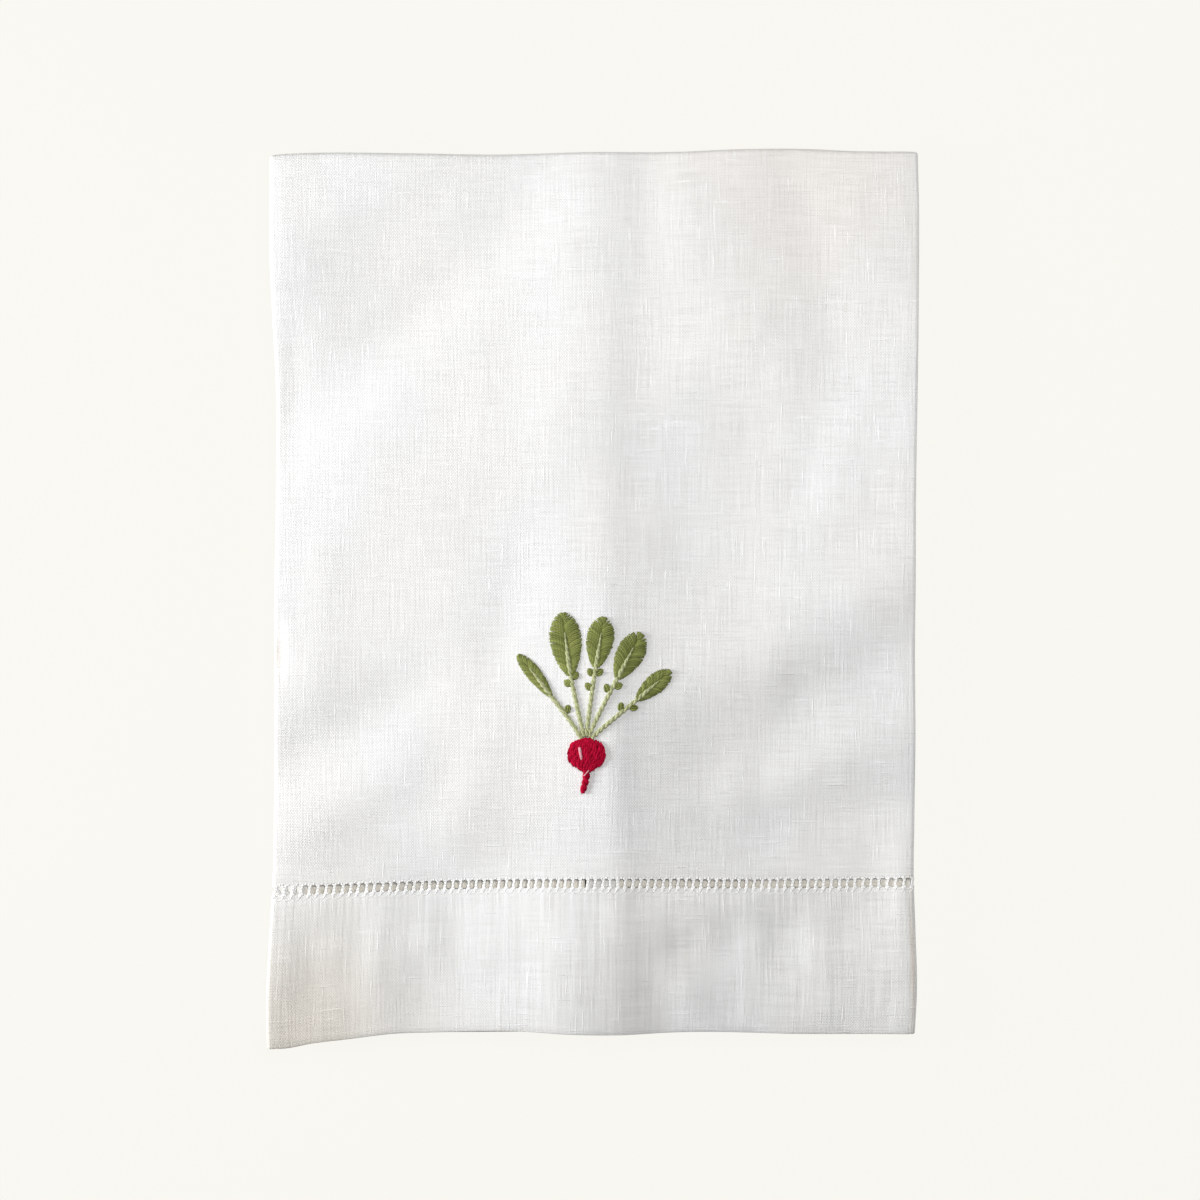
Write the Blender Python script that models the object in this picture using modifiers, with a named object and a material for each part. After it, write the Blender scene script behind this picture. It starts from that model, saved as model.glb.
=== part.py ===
"""Linen hand towel, folded to a quarter, with an embroidered radish on its front.

The cloth is one sheet. Both long sides are turned behind the middle panel and nearly meet, and the whole is then
folded in half across, so that it lies in four layers, with the front half on top and the hemmed ends together.
It lies on its back: +Z is up, out of the front, +Y is towards the crosswise fold, and the origin is in the middle
of the underside. Lengths in the tables are in millimetres.
"""

import math

import bmesh
import bpy
import numpy as np

MM = 0.001

# Sheet and layers
THICKNESS = 1.0 * MM
LAYER_GAP = 0.5 * MM
MIDDLE_GAP = 0.3 * MM
SIDES_APART = 3.6 * MM
SIDES_MEET = -3.1 * MM

# Hem, below the hemstitched row of the front
ROW_WIDTH = 2.6 * MM
ROW_DEPTH = 0.25 * MM
HEM_RISE = 0.15 * MM

# Soft relief of the front half
LOFT = 1.8 * MM
LOFT_RUN = 70.0 * MM
TOP_LOFT_SHARE = 0.35
RELIEF_FLOOR = 0.35 * MM
FADE_SHARE = 0.35

# Divisions of the sheet
PANEL_COLUMNS = 24
FRONT_ROWS = 25
BACK_ROWS = 3
TURN_STEPS = 5
END_TURN_STEPS = 8
ROW_STATIONS = (-1.2, -0.5, 0.5, 1.2)
ROW_CLEARANCE = 3.0

# Embroidery
PAD_CLEARANCE = 0.3 * MM
PAD_RINGS = 16
PAD_SIDES = 10
STEM_HALF_WIDTH = 0.55 * MM
STEM_RISE = 0.6 * MM
LEAF_RISE = 0.8 * MM
BULB_CENTRE = (-1.8 * MM, -43.9 * MM)
BULB_HALF_WIDTH = 5.2 * MM
BULB_LENGTH = 9.8 * MM
BULB_RISE = 1.5 * MM
ROOT_LENGTH = 6.0 * MM
ROOT_HALF_WIDTH = 0.95 * MM
ROOT_LEAN = -1.2 * MM
END_STEEPNESS = 14.0
BLADE_FULLNESS = 0.85

# The outline of the folded towel, seen from above
LEFT_EDGE = (
    # along y, x
    (-126.4, -91.3),
    (-116.0, -91.6),
    (-87.0, -90.4),
    (-80.0, -90.0),
    (-40.0, -89.4),
    (0.0, -89.4),
    (22.0, -89.0),
    (45.0, -88.8),
    (65.0, -89.0),
    (82.0, -89.8),
    (102.0, -90.5),
    (126.4, -90.6),
)
RIGHT_EDGE = (
    # along y, x
    (-122.0, 90.2),
    (-110.0, 90.8),
    (-93.0, 90.4),
    (-79.0, 89.9),
    (-60.0, 90.3),
    (0.0, 90.5),
    (28.0, 90.6),
    (56.0, 91.0),
    (84.0, 91.4),
    (112.0, 91.6),
    (126.4, 91.3),
)
TOP_EDGE = (
    # along x, y
    (-90.0, 124.7),
    (-83.0, 125.1),
    (-50.0, 125.1),
    (-26.0, 124.9),
    (-5.0, 125.5),
    (27.0, 125.8),
    (40.0, 126.4),
    (64.0, 126.4),
    (71.0, 126.0),
    (90.0, 125.8),
)
FRONT_HEM_EDGE = (
    # along x, y
    (-91.3, -126.4),
    (-85.8, -126.2),
    (-79.4, -125.0),
    (-69.0, -123.8),
    (-56.0, -122.3),
    (-47.0, -122.0),
    (-19.0, -121.3),
    (-7.6, -121.8),
    (7.0, -122.1),
    (30.0, -121.5),
    (57.0, -122.1),
    (90.0, -122.0),
)
BACK_HEM_EDGE = (
    # along x, y
    (-90.0, -122.6),
    (-40.0, -122.4),
    (0.0, -122.0),
    (50.0, -122.3),
    (90.0, -121.9),
)
HEMSTITCH_ROW = (
    # along x, y
    (-90.0, -81.7),
    (-66.0, -80.8),
    (-33.0, -79.9),
    (0.0, -79.6),
    (45.0, -79.8),
    (90.0, -78.9),
)

# Soft ridges (rise above 0) and troughs (below 0) of the front. Each follows a line that bows to its left by
# the given amount at its middle, and fades out at both ends; lines that leave the towel start or end outside it.
FOLDS = (
    # what, from x, from y, to x, to y, bow, half width, rise
    ("middle crease, upper", 4.5, 110.0, 4.0, -10.0, 0.0, 6.5, 0.35),
    ("middle crease, lower", 1.5, 30.0, 8.5, -92.0, 0.0, 5.0, 0.40),
    ("middle crease, hem", 7.0, -70.0, 9.0, -142.0, 0.0, 5.0, 0.45),
    ("upper middle swell", 1.0, 172.0, -6.0, -14.0, 0.0, 15.0, 1.60),
    ("swell behind the leaves", -3.0, 34.0, 5.0, -112.0, 0.0, 17.0, 1.60),
    ("broad swell of the middle", 2.0, 20.0, 4.0, -140.0, 0.0, 32.0, 0.90),
    ("hem middle swell", -3.0, -64.0, -7.0, -170.0, 0.0, 18.0, 3.10),
    ("upper left trough", 8.0, 142.0, -112.0, 33.0, 6.0, 12.0, -1.45),
    ("upper left corner swell", -16.0, 162.0, -116.0, 66.0, 0.0, 16.0, 1.85),
    ("upper left corner fill", -102.0, 142.0, -96.0, 76.0, 0.0, 15.0, 0.90),
    ("left shoulder", -104.0, 24.0, 14.0, 54.0, 0.0, 17.0, 0.85),
    ("left hollow", -12.0, 34.0, -46.0, -72.0, 0.0, 8.0, -0.60),
    ("left swell", -74.0, 30.0, -80.0, -48.0, 0.0, 7.0, 0.45),
    ("left notch", -98.0, -21.0, -80.0, -18.0, 0.0, 4.0, -0.10),
    ("left trough", -108.0, -58.0, -32.0, -16.0, 0.0, 9.0, -1.20),
    ("left lower ridge", -98.0, -75.0, -40.0, -42.0, 0.0, 8.0, 0.60),
    ("ridge below the leaves", -26.0, -8.0, -45.0, -90.0, 0.0, 10.0, 0.75),
    ("trough above the hem", -86.0, -65.0, -8.0, -84.0, 0.0, 9.0, -1.00),
    ("hem left trough", -44.0, -64.0, -48.0, -142.0, 0.0, 12.0, -1.40),
    ("hem left hollow", -66.0, -70.0, -66.0, -142.0, 0.0, 7.0, -0.40),
    ("hem left swell", -91.0, -70.0, -110.0, -146.0, 0.0, 16.0, 1.50),
    ("hem edge droop", -130.0, -131.0, 130.0, -131.0, 0.0, 9.0, -1.00),
    ("upper right hollow", 14.0, 150.0, 17.0, 86.0, 0.0, 7.0, -0.50),
    ("right dome", 24.0, 130.0, 45.0, 52.0, 0.0, 18.0, 1.20),
    ("right side trough", 49.0, 138.0, 68.0, 28.0, 7.0, 8.0, -0.90),
    ("right upper swell", 93.0, 108.0, 96.0, -4.0, 0.0, 12.0, 1.10),
    ("right step", 66.0, 60.0, 57.0, 16.0, 0.0, 6.0, -0.50),
    ("right middle trough", 30.0, -12.0, 52.0, 70.0, 0.0, 16.0, -1.60),
    ("crosswise press line", 8.0, -1.8, 96.0, -1.2, 0.0, 3.0, 0.25),
    ("right diagonal ridge", -10.0, -36.0, 112.0, 27.0, -9.0, 12.0, 1.20),
    ("right diagonal furrow", 10.0, -58.0, 118.0, 3.0, 0.0, 11.0, -1.20),
    ("right lower ridge", 46.0, -56.0, 118.0, -28.0, 2.0, 7.0, 0.50),
    ("right lower trough", 14.0, -72.0, 114.0, -54.0, 2.0, 8.0, -1.00),
    ("right end swell", 92.0, -48.0, 90.0, -150.0, 0.0, 9.0, 1.10),
    ("hem right trough", 14.0, -99.0, 88.0, -91.0, 0.0, 8.0, -0.80),
    ("hem right swell", 46.0, -122.0, 98.0, -100.0, 0.0, 9.0, 0.45),
)

# Leaves of the radish, each bent along an arc from the crown
LEAVES = (
    # name, start across, lean deg, bend deg, length, blade length, blade half width
    ("leaf_1", -2.9, -35.0, -16.0, 28.5, 15.0, 1.9),
    ("leaf_2", -1.5, -8.5, 6.0, 35.0, 18.0, 4.3),
    ("leaf_3", -0.1, 8.5, 3.0, 33.5, 14.5, 3.7),
    ("leaf_4", 1.3, 26.0, 8.0, 32.0, 14.5, 3.8),
    ("leaf_5", 2.7, 48.0, 7.0, 28.0, 12.5, 2.6),
)

LAYER_STEP = THICKNESS + LAYER_GAP
SIDE_LEVEL = (MIDDLE_GAP + THICKNESS) / 2
PANEL_LEVEL = SIDE_LEVEL + LAYER_STEP
OUTER_LEVEL = PANEL_LEVEL + THICKNESS / 2
TURN_RADIUS = LAYER_STEP / 2
TURN_REACH = TURN_RADIUS + THICKNESS / 2


def clear_scene():
    for old in list(bpy.data.objects):
        bpy.data.objects.remove(old, do_unlink=True)


def read_edge(table, at):
    """The edge's other coordinate at one place along it, straight between the rows of its table."""
    rows = np.array(table) * MM
    return float(np.interp(at, rows[:, 0], rows[:, 1]))


def smooth(share):
    """0 at 0 and below, 1 at 1 and above, with no corner between."""
    share = min(max(share, 0.0), 1.0)
    return share * share * (3 - 2 * share)


def fold_height(x, y, row):
    """The height of one row of FOLDS at a point."""
    _, x0, y0, x1, y1, bow, half_width, rise = row
    start = np.array((x0, y0)) * MM
    run = np.array((x1, y1)) * MM - start
    length = float(np.linalg.norm(run))
    ahead = (np.array((x, y)) - start) @ run / length
    leftward = (run[0] * (y - start[1]) - run[1] * (x - start[0])) / length
    share = ahead / length
    off = (leftward - 4 * share * (1 - share) * bow * MM) / (half_width * MM)
    fade = smooth(share / FADE_SHARE) * smooth((1 - share) / FADE_SHARE)
    return rise * MM * fade * math.exp(-off * off)


def relief(x, y):
    """How far the front half stands above where it would lie pressed flat."""
    below_top = read_edge(TOP_EDGE, x) - y
    height = LOFT * (TOP_LOFT_SHARE + (1 - TOP_LOFT_SHARE) * smooth(below_top / LOFT_RUN))
    height += sum(fold_height(x, y, row) for row in FOLDS)
    return (height + math.hypot(height, RELIEF_FLOOR)) / 2


def hem_form(x, y):
    """The sunk hemstitched row, and the slightly thicker hem below it."""
    above_row = (y - read_edge(HEMSTITCH_ROW, x)) / (ROW_WIDTH / 2)
    sunk = ROW_DEPTH * math.exp(-above_row * above_row)
    return HEM_RISE * smooth(-above_row) - sunk


def half_turn(steps):
    """The inner stations of a half turn, as (bulge, level), from level -1 to level 1."""
    angles = (math.pi * step / steps for step in range(1, steps))
    return [(math.sin(angle), -math.cos(angle)) for angle in angles]


def half_across(reach):
    """Places from the edge of a turned-in side out to its fold, and back as far over the panel."""
    shares = list(np.linspace(0.0, reach, PANEL_COLUMNS // 2))
    turned_in = [(share, 0.0, -1.0) for share in reversed(shares)]
    turn = [(0.0, -bulge, level) for bulge, level in half_turn(TURN_STEPS)]
    return turned_in + turn + [(share, 0.0, 1.0) for share in shares]


def stations_across():
    """Places across the sheet as (share of the width, bulge, level): -1 is a turned-in side, 1 the panel."""
    left_fold = read_edge(LEFT_EDGE, 0) + TURN_REACH
    width = read_edge(RIGHT_EDGE, 0) - TURN_REACH - left_fold
    meet = (SIDES_MEET - left_fold) / width
    apart = SIDES_APART / width / 2
    left = half_across(meet - apart)
    right = reversed(half_across(1 - meet - apart))
    return left + [(meet, 0.0, 1.0)] + [(1 - share, -bulge, level) for share, bulge, level in right]


def row_shares():
    """Places along the front as shares of its length, with extra ones at the hemstitched row."""
    low = read_edge(FRONT_HEM_EDGE, 0)
    length = read_edge(TOP_EDGE, 0) - OUTER_LEVEL - low
    row = (read_edge(HEMSTITCH_ROW, 0) - low) / length
    step = ROW_WIDTH / 2 / length
    extra = [row + step * station for station in ROW_STATIONS]
    even = np.linspace(0, 1, FRONT_ROWS)
    return sorted([share for share in even if abs(share - row) > ROW_CLEARANCE * step] + extra)


def stations_along():
    """Places along the sheet as (share of the length, bulge, level): 1 is the front half, -1 the back."""
    front = [(share, 0.0, 1.0) for share in row_shares()]
    turn = [(1.0, bulge, -level) for bulge, level in half_turn(END_TURN_STEPS)]
    back = [(share, 0.0, -1.0) for share in np.linspace(1, 0, BACK_ROWS)]
    return front + turn + back


def folded_point(across, along):
    """Where a place on the middle surface of the sheet lies once it is folded."""
    share_x, bulge_x, level_x = across
    share_y, bulge_y, level_y = along
    mean_y = read_edge(FRONT_HEM_EDGE, 0) * (1 - share_y) + read_edge(TOP_EDGE, 0) * share_y
    left = read_edge(LEFT_EDGE, mean_y) + TURN_REACH
    right = read_edge(RIGHT_EDGE, mean_y) - TURN_REACH
    flat_x = left * (1 - share_x) + right * share_x
    hem_edge = FRONT_HEM_EDGE if level_y > 0 else BACK_HEM_EDGE
    low = read_edge(hem_edge, flat_x)
    high = read_edge(TOP_EDGE, flat_x) - OUTER_LEVEL
    flat_y = low * (1 - share_y) + high * share_y
    level = SIDE_LEVEL + LAYER_STEP * (1 + level_x) / 2
    if level_x > 0 and level_y > 0:
        level += level_x * hem_form(flat_x, flat_y)
    lift = relief(flat_x, flat_y) / 2
    x = flat_x + bulge_x * TURN_RADIUS
    y = flat_y + bulge_y * level
    z = OUTER_LEVEL + lift + level_y * (level + lift)
    return x, y, z


def material(name, colour, roughness):
    made = bpy.data.materials.new(name)
    made.use_nodes = True
    shader = made.node_tree.nodes["Principled BSDF"]
    shader.inputs["Base Color"].default_value = (*colour, 1.0)
    shader.inputs["Roughness"].default_value = roughness
    shader.inputs["Metallic"].default_value = 0.0
    return made


def mesh_object(name, bm, collection, finish):
    mesh = bpy.data.meshes.new(name)
    bm.to_mesh(mesh)
    bm.free()
    made = bpy.data.objects.new(name, mesh)
    collection.objects.link(made)
    made.data.materials.append(finish)
    mesh.shade_smooth()
    return made


def add_towel(collection, finish):
    """The sheet: a flat grid laid in its folds, then given its thickness."""
    across = stations_across()
    along = stations_along()
    bm = bmesh.new()
    bmesh.ops.create_grid(bm, x_segments=len(across) - 1, y_segments=len(along) - 1, size=1.0)
    bm.verts.ensure_lookup_table()
    for index, vertex in enumerate(bm.verts):
        row, column = divmod(index, len(across))
        vertex.co = folded_point(across[column], along[row])
    towel = mesh_object("towel", bm, collection, finish)
    sheet = towel.modifiers.new("sheet", "SOLIDIFY")
    sheet.thickness = THICKNESS
    sheet.offset = 0.0
    sheet.use_even_offset = False
    return towel


def front_surface(x, y):
    """The height of the cloth's front at a point."""
    return 2 * OUTER_LEVEL + relief(x, y) + hem_form(x, y)


def add_pad(name, spine, collection, finish):
    """A low closed pad of thread. spine(share) gives its middle line's x and y, its half width and its rise."""
    bm = bmesh.new()
    bmesh.ops.create_uvsphere(bm, u_segments=PAD_SIDES, v_segments=PAD_RINGS, radius=1.0)
    step = 0.5 / PAD_RINGS
    for vertex in bm.verts:
        share = math.acos(max(-1.0, min(1.0, -vertex.co.z))) / math.pi
        ring = math.hypot(vertex.co.x, vertex.co.y)
        side = -vertex.co.x / ring if ring > step / PAD_SIDES else 0.0
        up = vertex.co.y / ring if ring > step / PAD_SIDES else 0.0
        x, y, half_width, rise = spine(share)
        ahead = spine(min(share + step, 1.0))
        behind = spine(max(share - step, 0.0))
        heading = math.atan2(ahead[1] - behind[1], ahead[0] - behind[0])
        x += side * half_width * math.sin(heading)
        y -= side * half_width * math.cos(heading)
        z = front_surface(x, y) + PAD_CLEARANCE + rise * (1 + up) / 2
        vertex.co = (x, y, z)
    return mesh_object(name, bm, collection, finish)


def end_taper(share):
    """1 along most of a pad, rounding off to 0 at its two ends."""
    return min(1.0, math.sqrt(max(0.0, min(share, 1 - share)) * END_STEEPNESS))


def bulb_spine(share):
    """From the tip of the root up to the crown."""
    length = ROOT_LENGTH + BULB_LENGTH
    travelled = share * length
    low = BULB_CENTRE[1] - BULB_LENGTH / 2 - ROOT_LENGTH
    in_bulb = (travelled - ROOT_LENGTH) / BULB_LENGTH
    root_share = min(travelled / ROOT_LENGTH, 1.0)
    root = ROOT_HALF_WIDTH * math.sqrt(root_share)
    round_share = math.sqrt(max(0.0, 1 - (2 * in_bulb - 1) ** 2))
    half_width = max(root, BULB_HALF_WIDTH * round_share)
    rise = max(STEM_RISE * math.sqrt(root_share), BULB_RISE * round_share)
    x = BULB_CENTRE[0] + ROOT_LEAN * (1 - root_share) ** 2
    end = end_taper(share)
    return x, low + travelled, half_width * end, rise * end


def leaf_spine(row):
    """The middle line of a leaf on its stem, as a function of the share of its length."""
    _, start, lean, bend, length, blade_length, blade_half_width = row
    turned = start * MM / BULB_HALF_WIDTH
    start_x = BULB_CENTRE[0] + start * MM
    shoulder = BULB_LENGTH / 2 * math.sqrt(1 - turned * turned)
    start_y = BULB_CENTRE[1] + shoulder + 2 * PAD_CLEARANCE
    stem_share = 1 - blade_length / length

    def at(share):
        mean_lean = math.radians(lean + bend * (share - 1) / 2)
        x = start_x + length * MM * share * math.sin(mean_lean)
        y = start_y + length * MM * share * math.cos(mean_lean)
        in_blade = (share - stem_share) / (1 - stem_share)
        blade = math.sin(math.pi * max(in_blade, 0.0) ** BLADE_FULLNESS)
        half_width = STEM_HALF_WIDTH + (blade_half_width * MM - STEM_HALF_WIDTH) * blade
        rise = STEM_RISE + (LEAF_RISE - STEM_RISE) * blade
        end = end_taper(share)
        return x, y, half_width * end, rise * end

    return at


def main():
    clear_scene()
    collection = bpy.data.collections.new("hand_towel")
    bpy.context.scene.collection.children.link(collection)
    linen = material("linen", (0.86, 0.86, 0.84), 0.9)
    red_thread = material("red_thread", (0.52, 0.01, 0.03), 0.6)
    green_thread = material("green_thread", (0.20, 0.28, 0.07), 0.6)
    add_towel(collection, linen)
    add_pad("radish_bulb", bulb_spine, collection, red_thread)
    for row in LEAVES:
        add_pad(row[0], leaf_spine(row), collection, green_thread)


main()
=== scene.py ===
"""Looks of the folded linen hand towel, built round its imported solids.

The cloth is one thin sheet, laid in the folds that the solids have: both long sides turned behind the
middle panel, then folded in half across, so that the hemmed ends lie together. Places on the sheet are given
as u, across it, and v, along it, in metres of flat cloth. v is 0 where the front's hem is turned. Lengths in
the tables are in millimetres. The folds, edges and leaves are those of the solids, but the hemstitched row
lies up to 0.6 mm lower here, as the photo shows.
"""

import math
from collections import namedtuple

import bpy
import numpy as np
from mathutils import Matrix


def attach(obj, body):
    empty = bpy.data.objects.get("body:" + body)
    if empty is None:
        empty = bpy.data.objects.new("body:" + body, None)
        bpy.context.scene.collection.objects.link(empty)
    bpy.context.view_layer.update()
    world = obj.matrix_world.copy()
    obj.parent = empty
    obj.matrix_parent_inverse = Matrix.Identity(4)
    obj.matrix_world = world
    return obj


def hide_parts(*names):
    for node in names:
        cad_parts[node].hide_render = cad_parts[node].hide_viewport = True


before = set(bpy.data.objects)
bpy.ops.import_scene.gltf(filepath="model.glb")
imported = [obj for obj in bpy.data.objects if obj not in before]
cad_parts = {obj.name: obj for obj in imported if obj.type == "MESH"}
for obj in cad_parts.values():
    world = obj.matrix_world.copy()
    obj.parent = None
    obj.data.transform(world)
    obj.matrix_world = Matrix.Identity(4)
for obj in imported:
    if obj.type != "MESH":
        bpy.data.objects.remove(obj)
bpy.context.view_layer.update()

MM = 0.001

# Outer surface of the folded towel, as in the solids
OUTER_LEVEL = 2.65 * MM
LAYER_STEP = 1.5 * MM
ROW_WIDTH = 2.6 * MM
ROW_DEPTH = 0.25 * MM
HEM_RISE = 0.15 * MM
LOFT = 1.8 * MM
LOFT_RUN = 70.0 * MM
TOP_LOFT_SHARE = 0.35
RELIEF_FLOOR = 0.35 * MM
FADE_SHARE = 0.35

# The sheet of linen
THICKNESS = 0.4 * MM
PANEL_LEVEL = OUTER_LEVEL - THICKNESS / 2
SIDE_LEVEL = PANEL_LEVEL - LAYER_STEP
MIDDLE_LEVEL = (PANEL_LEVEL + SIDE_LEVEL) / 2
TURN_RADIUS = LAYER_STEP / 2
TURN_LENGTH = math.pi * TURN_RADIUS
PANEL_WIDTH = 177.4 * MM
LEFT_SIDE_WIDTH = 86.4 * MM
RIGHT_SIDE_WIDTH = 90.6 * MM
PANEL_START = LEFT_SIDE_WIDTH + TURN_LENGTH
PANEL_END = PANEL_START + PANEL_WIDTH
SHEET_WIDTH = PANEL_END + TURN_LENGTH + RIGHT_SIDE_WIDTH
EDGE_DROP = 0.14 * MM
EDGE_DROP_RUN = 1.6 * MM

# Along the sheet
HEM_WIDTH = 41.6 * MM
BODY_LENGTH = 203.5 * MM
HEM_LAYER_GAP = 0.48 * MM
HEM_TURN = math.pi * HEM_LAYER_GAP / 4
HEM_UNDER_LENGTH = HEM_WIDTH - 2.0 * MM
HALF_LENGTH = HEM_WIDTH + BODY_LENGTH
TOP_SQUASH = 0.55
TOP_TURN = math.pi * MIDDLE_LEVEL * (1 + TOP_SQUASH) / 4
SHEET_LENGTH = 2 * (HEM_TURN + HALF_LENGTH + TOP_TURN)

# How much of the relief the turned-in sides take up: those of the back, and those of the front
BACK_SIDE_SHARE = 0.25
FRONT_SIDE_SHARE = 0.92

# How far below the panel each turned-in side lies once past its fold
SIDE_GAP = (
    # along x, gap
    (-90, 0.10), (-82, 0.12), (-78, 0.42), (-60, 0.45), (-50, 0.75), (-26, 0.80), (-16, 0.45), (-4, 0.40),
    (-1.4, 0.08), (8, 0.08), (12, 0.26), (60, 0.30), (90, 0.24),
)
GAP_RUN = 3.0 * MM
GAP_RISE_START = 3.0 * MM
GAP_RISE_RUN = 5.0 * MM

# How far above the front's row of holes those of the sides and the back lie, and the share of it there
SIDE_ROW_RISE = -2.4
BACK_ROW_RISE = 4.2
ROW_RISE_SHARE = (
    # along x, share
    (-90, 0), (-84.4, 0), (-82.6, 0), (-81, 1), (-79, 1), (90, 1),
)

# Fine creasing of the cloth, and where it is stronger
CRUMPLES = (
    # cell across, cell along, height
    (30, 42, 0.22), (11, 26, 0.075), (24, 9, 0.055), (6.5, 8, 0.032), (3.2, 3.8, 0.010),
)
NOISE_CELLS = 64
HEM_CRUMPLE_SHARE = 1.8
HEM_CRUMPLE_RUN = 6 * MM
RIGHT_CRUMPLE_SHARE = 0.8
RIGHT_CRUMPLE_START = -10 * MM
RIGHT_CRUMPLE_RUN = 30 * MM
RIGHT_CRUMPLE_TOP = 60 * MM

# Divisions of the sheet
BODY_ROWS = 118
HEM_ROWS = 26
UNDER_ROWS = 6
HEM_TURN_ROWS = 4
TOP_TURN_ROWS = 12
BACK_BODY_ROWS = 12
BACK_HEM_ROWS = 4
TURN_COLUMNS = 8
SIDE_EVERY = 8
SIDE_NEAR_FOLD = 10
SHARP_FROM_DEG = 55.0

# Hemstitched row: holes between bundles of drawn threads. A station is -1 at a hole's foot, 1 at its head
HOLE_HALF_HEIGHT = 1.24 * MM
BUNDLE_END_SHARE = 0.33
BUNDLE_WAIST_SHARE = 0.155
BUNDLE_JITTER = 0.05 * MM
BUNDLE_LEAN = 0.11 * MM
BUNDLE_LEAN_SPREAD = 0.05 * MM
LEAN_SCALE = 2.6
WAIST_UNEVENNESS = 0.15
WAIST_POWER = 6.0
WAIST_STATIONS = (-0.9, -0.7, -0.3, 0.3, 0.7, 0.9)
SIDE_HEM_WIDTH = 8.6 * MM
SIDE_HEM_CLEARANCE = 2 * MM
COLUMN_CLEARANCE = 0.12 * MM
ROW_PITCH = (
    # x, pitch
    (-90, 2.45), (-78, 2.28), (-58, 2.20), (-35, 2.15), (-15, 2.04),
    (0, 2.10), (55, 2.15), (72, 2.22), (90, 2.34),
)

# Threads of that row: strands of the bundles, then the stitches at their feet and at the holes' heads
STRANDS = (-0.55, 0.0, 0.55)
STRAND_START = -1.2
STRAND_END = 1.12
STRAND_OVERRUN = 0.5
STRAND_POINTS = 12
STRAND_DRIFT = 0.12 * MM
STRAND_LIFT = 0.03 * MM
STRAND_SINK = 0.15 * MM
STRAND_HALF_SIZES = (0.17 * MM, 0.08 * MM)
STITCH_JITTER = 0.05 * MM
FOOT_STATION = -1.14
FOOT_SINK = 0.04 * MM
FOOT_STITCHES = (
    # from across and to across, in pitches, from along, to along, lift, half width, half height, tone
    (0.30, -0.26, 0.10, -0.12, 0.09, 0.15, 0.10, 0.9),
    (0.02, -0.22, -0.10, -1.05, 0.06, 0.12, 0.08, 0.6),
)
LOOP_POINTS = 8
LOOP_CENTRE = -0.62
LOOP_HALF_WIDTH = 0.36
LOOP_START = -0.95 * MM
LOOP_DEPTH = 0.32 * MM
LOOP_LIFT = 0.03 * MM
LOOP_HALF_SIZES = (0.11 * MM, 0.08 * MM)
HEAD_ACROSS = (-0.05 * MM, 0.08 * MM)
HEAD_ALONG = (0.12 * MM, 0.55 * MM)
HEAD_SINK = 0.06 * MM
HEAD_LIFT = 0.12 * MM
HEAD_HALF_SIZES = (0.12 * MM, 0.08 * MM)

# The outline of the folded towel, seen from above
LEFT_EDGE = (
    # along y, x
    (-126.4, -91.3), (-116, -91.6), (-87, -90.4), (-80, -90), (-40, -89.4), (0, -89.4), (22, -89),
    (45, -88.8), (65, -89), (82, -89.8), (102, -90.5), (126.4, -90.6),
)
RIGHT_EDGE = (
    # along y, x
    (-122, 90.2), (-110, 90.8), (-93, 90.4), (-79, 89.9), (-60, 90.3), (0, 90.5), (28, 90.6), (56, 91),
    (84, 91.4), (112, 91.6), (126.4, 91.3),
)
TOP_EDGE = (
    # along x, y
    (-90, 124.7), (-83, 125.1), (-50, 125.1), (-26, 124.9), (-5, 125.5), (27, 125.8), (40, 126.4),
    (64, 126.4), (71, 126), (90, 125.8),
)
FRONT_HEM_EDGE = (
    # along x, y
    (-91.3, -126.4), (-85.8, -126.2), (-79.4, -125), (-69, -123.8), (-56, -122.3), (-47, -122),
    (-19, -121.3), (-7.6, -121.8), (7, -122.1), (30, -121.5), (57, -122.1), (90, -122),
)
BACK_HEM_EDGE = (
    # along x, y
    (-90, -122.6), (-40, -122.4), (0, -122), (50, -122.3), (90, -121.9),
)
HEMSTITCH_ROW = (
    # along x, y
    (-90, -82), (-66, -81.2), (-33, -80.2), (0, -79.6), (45, -80), (68, -79.9), (90, -79.4),
)

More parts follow.
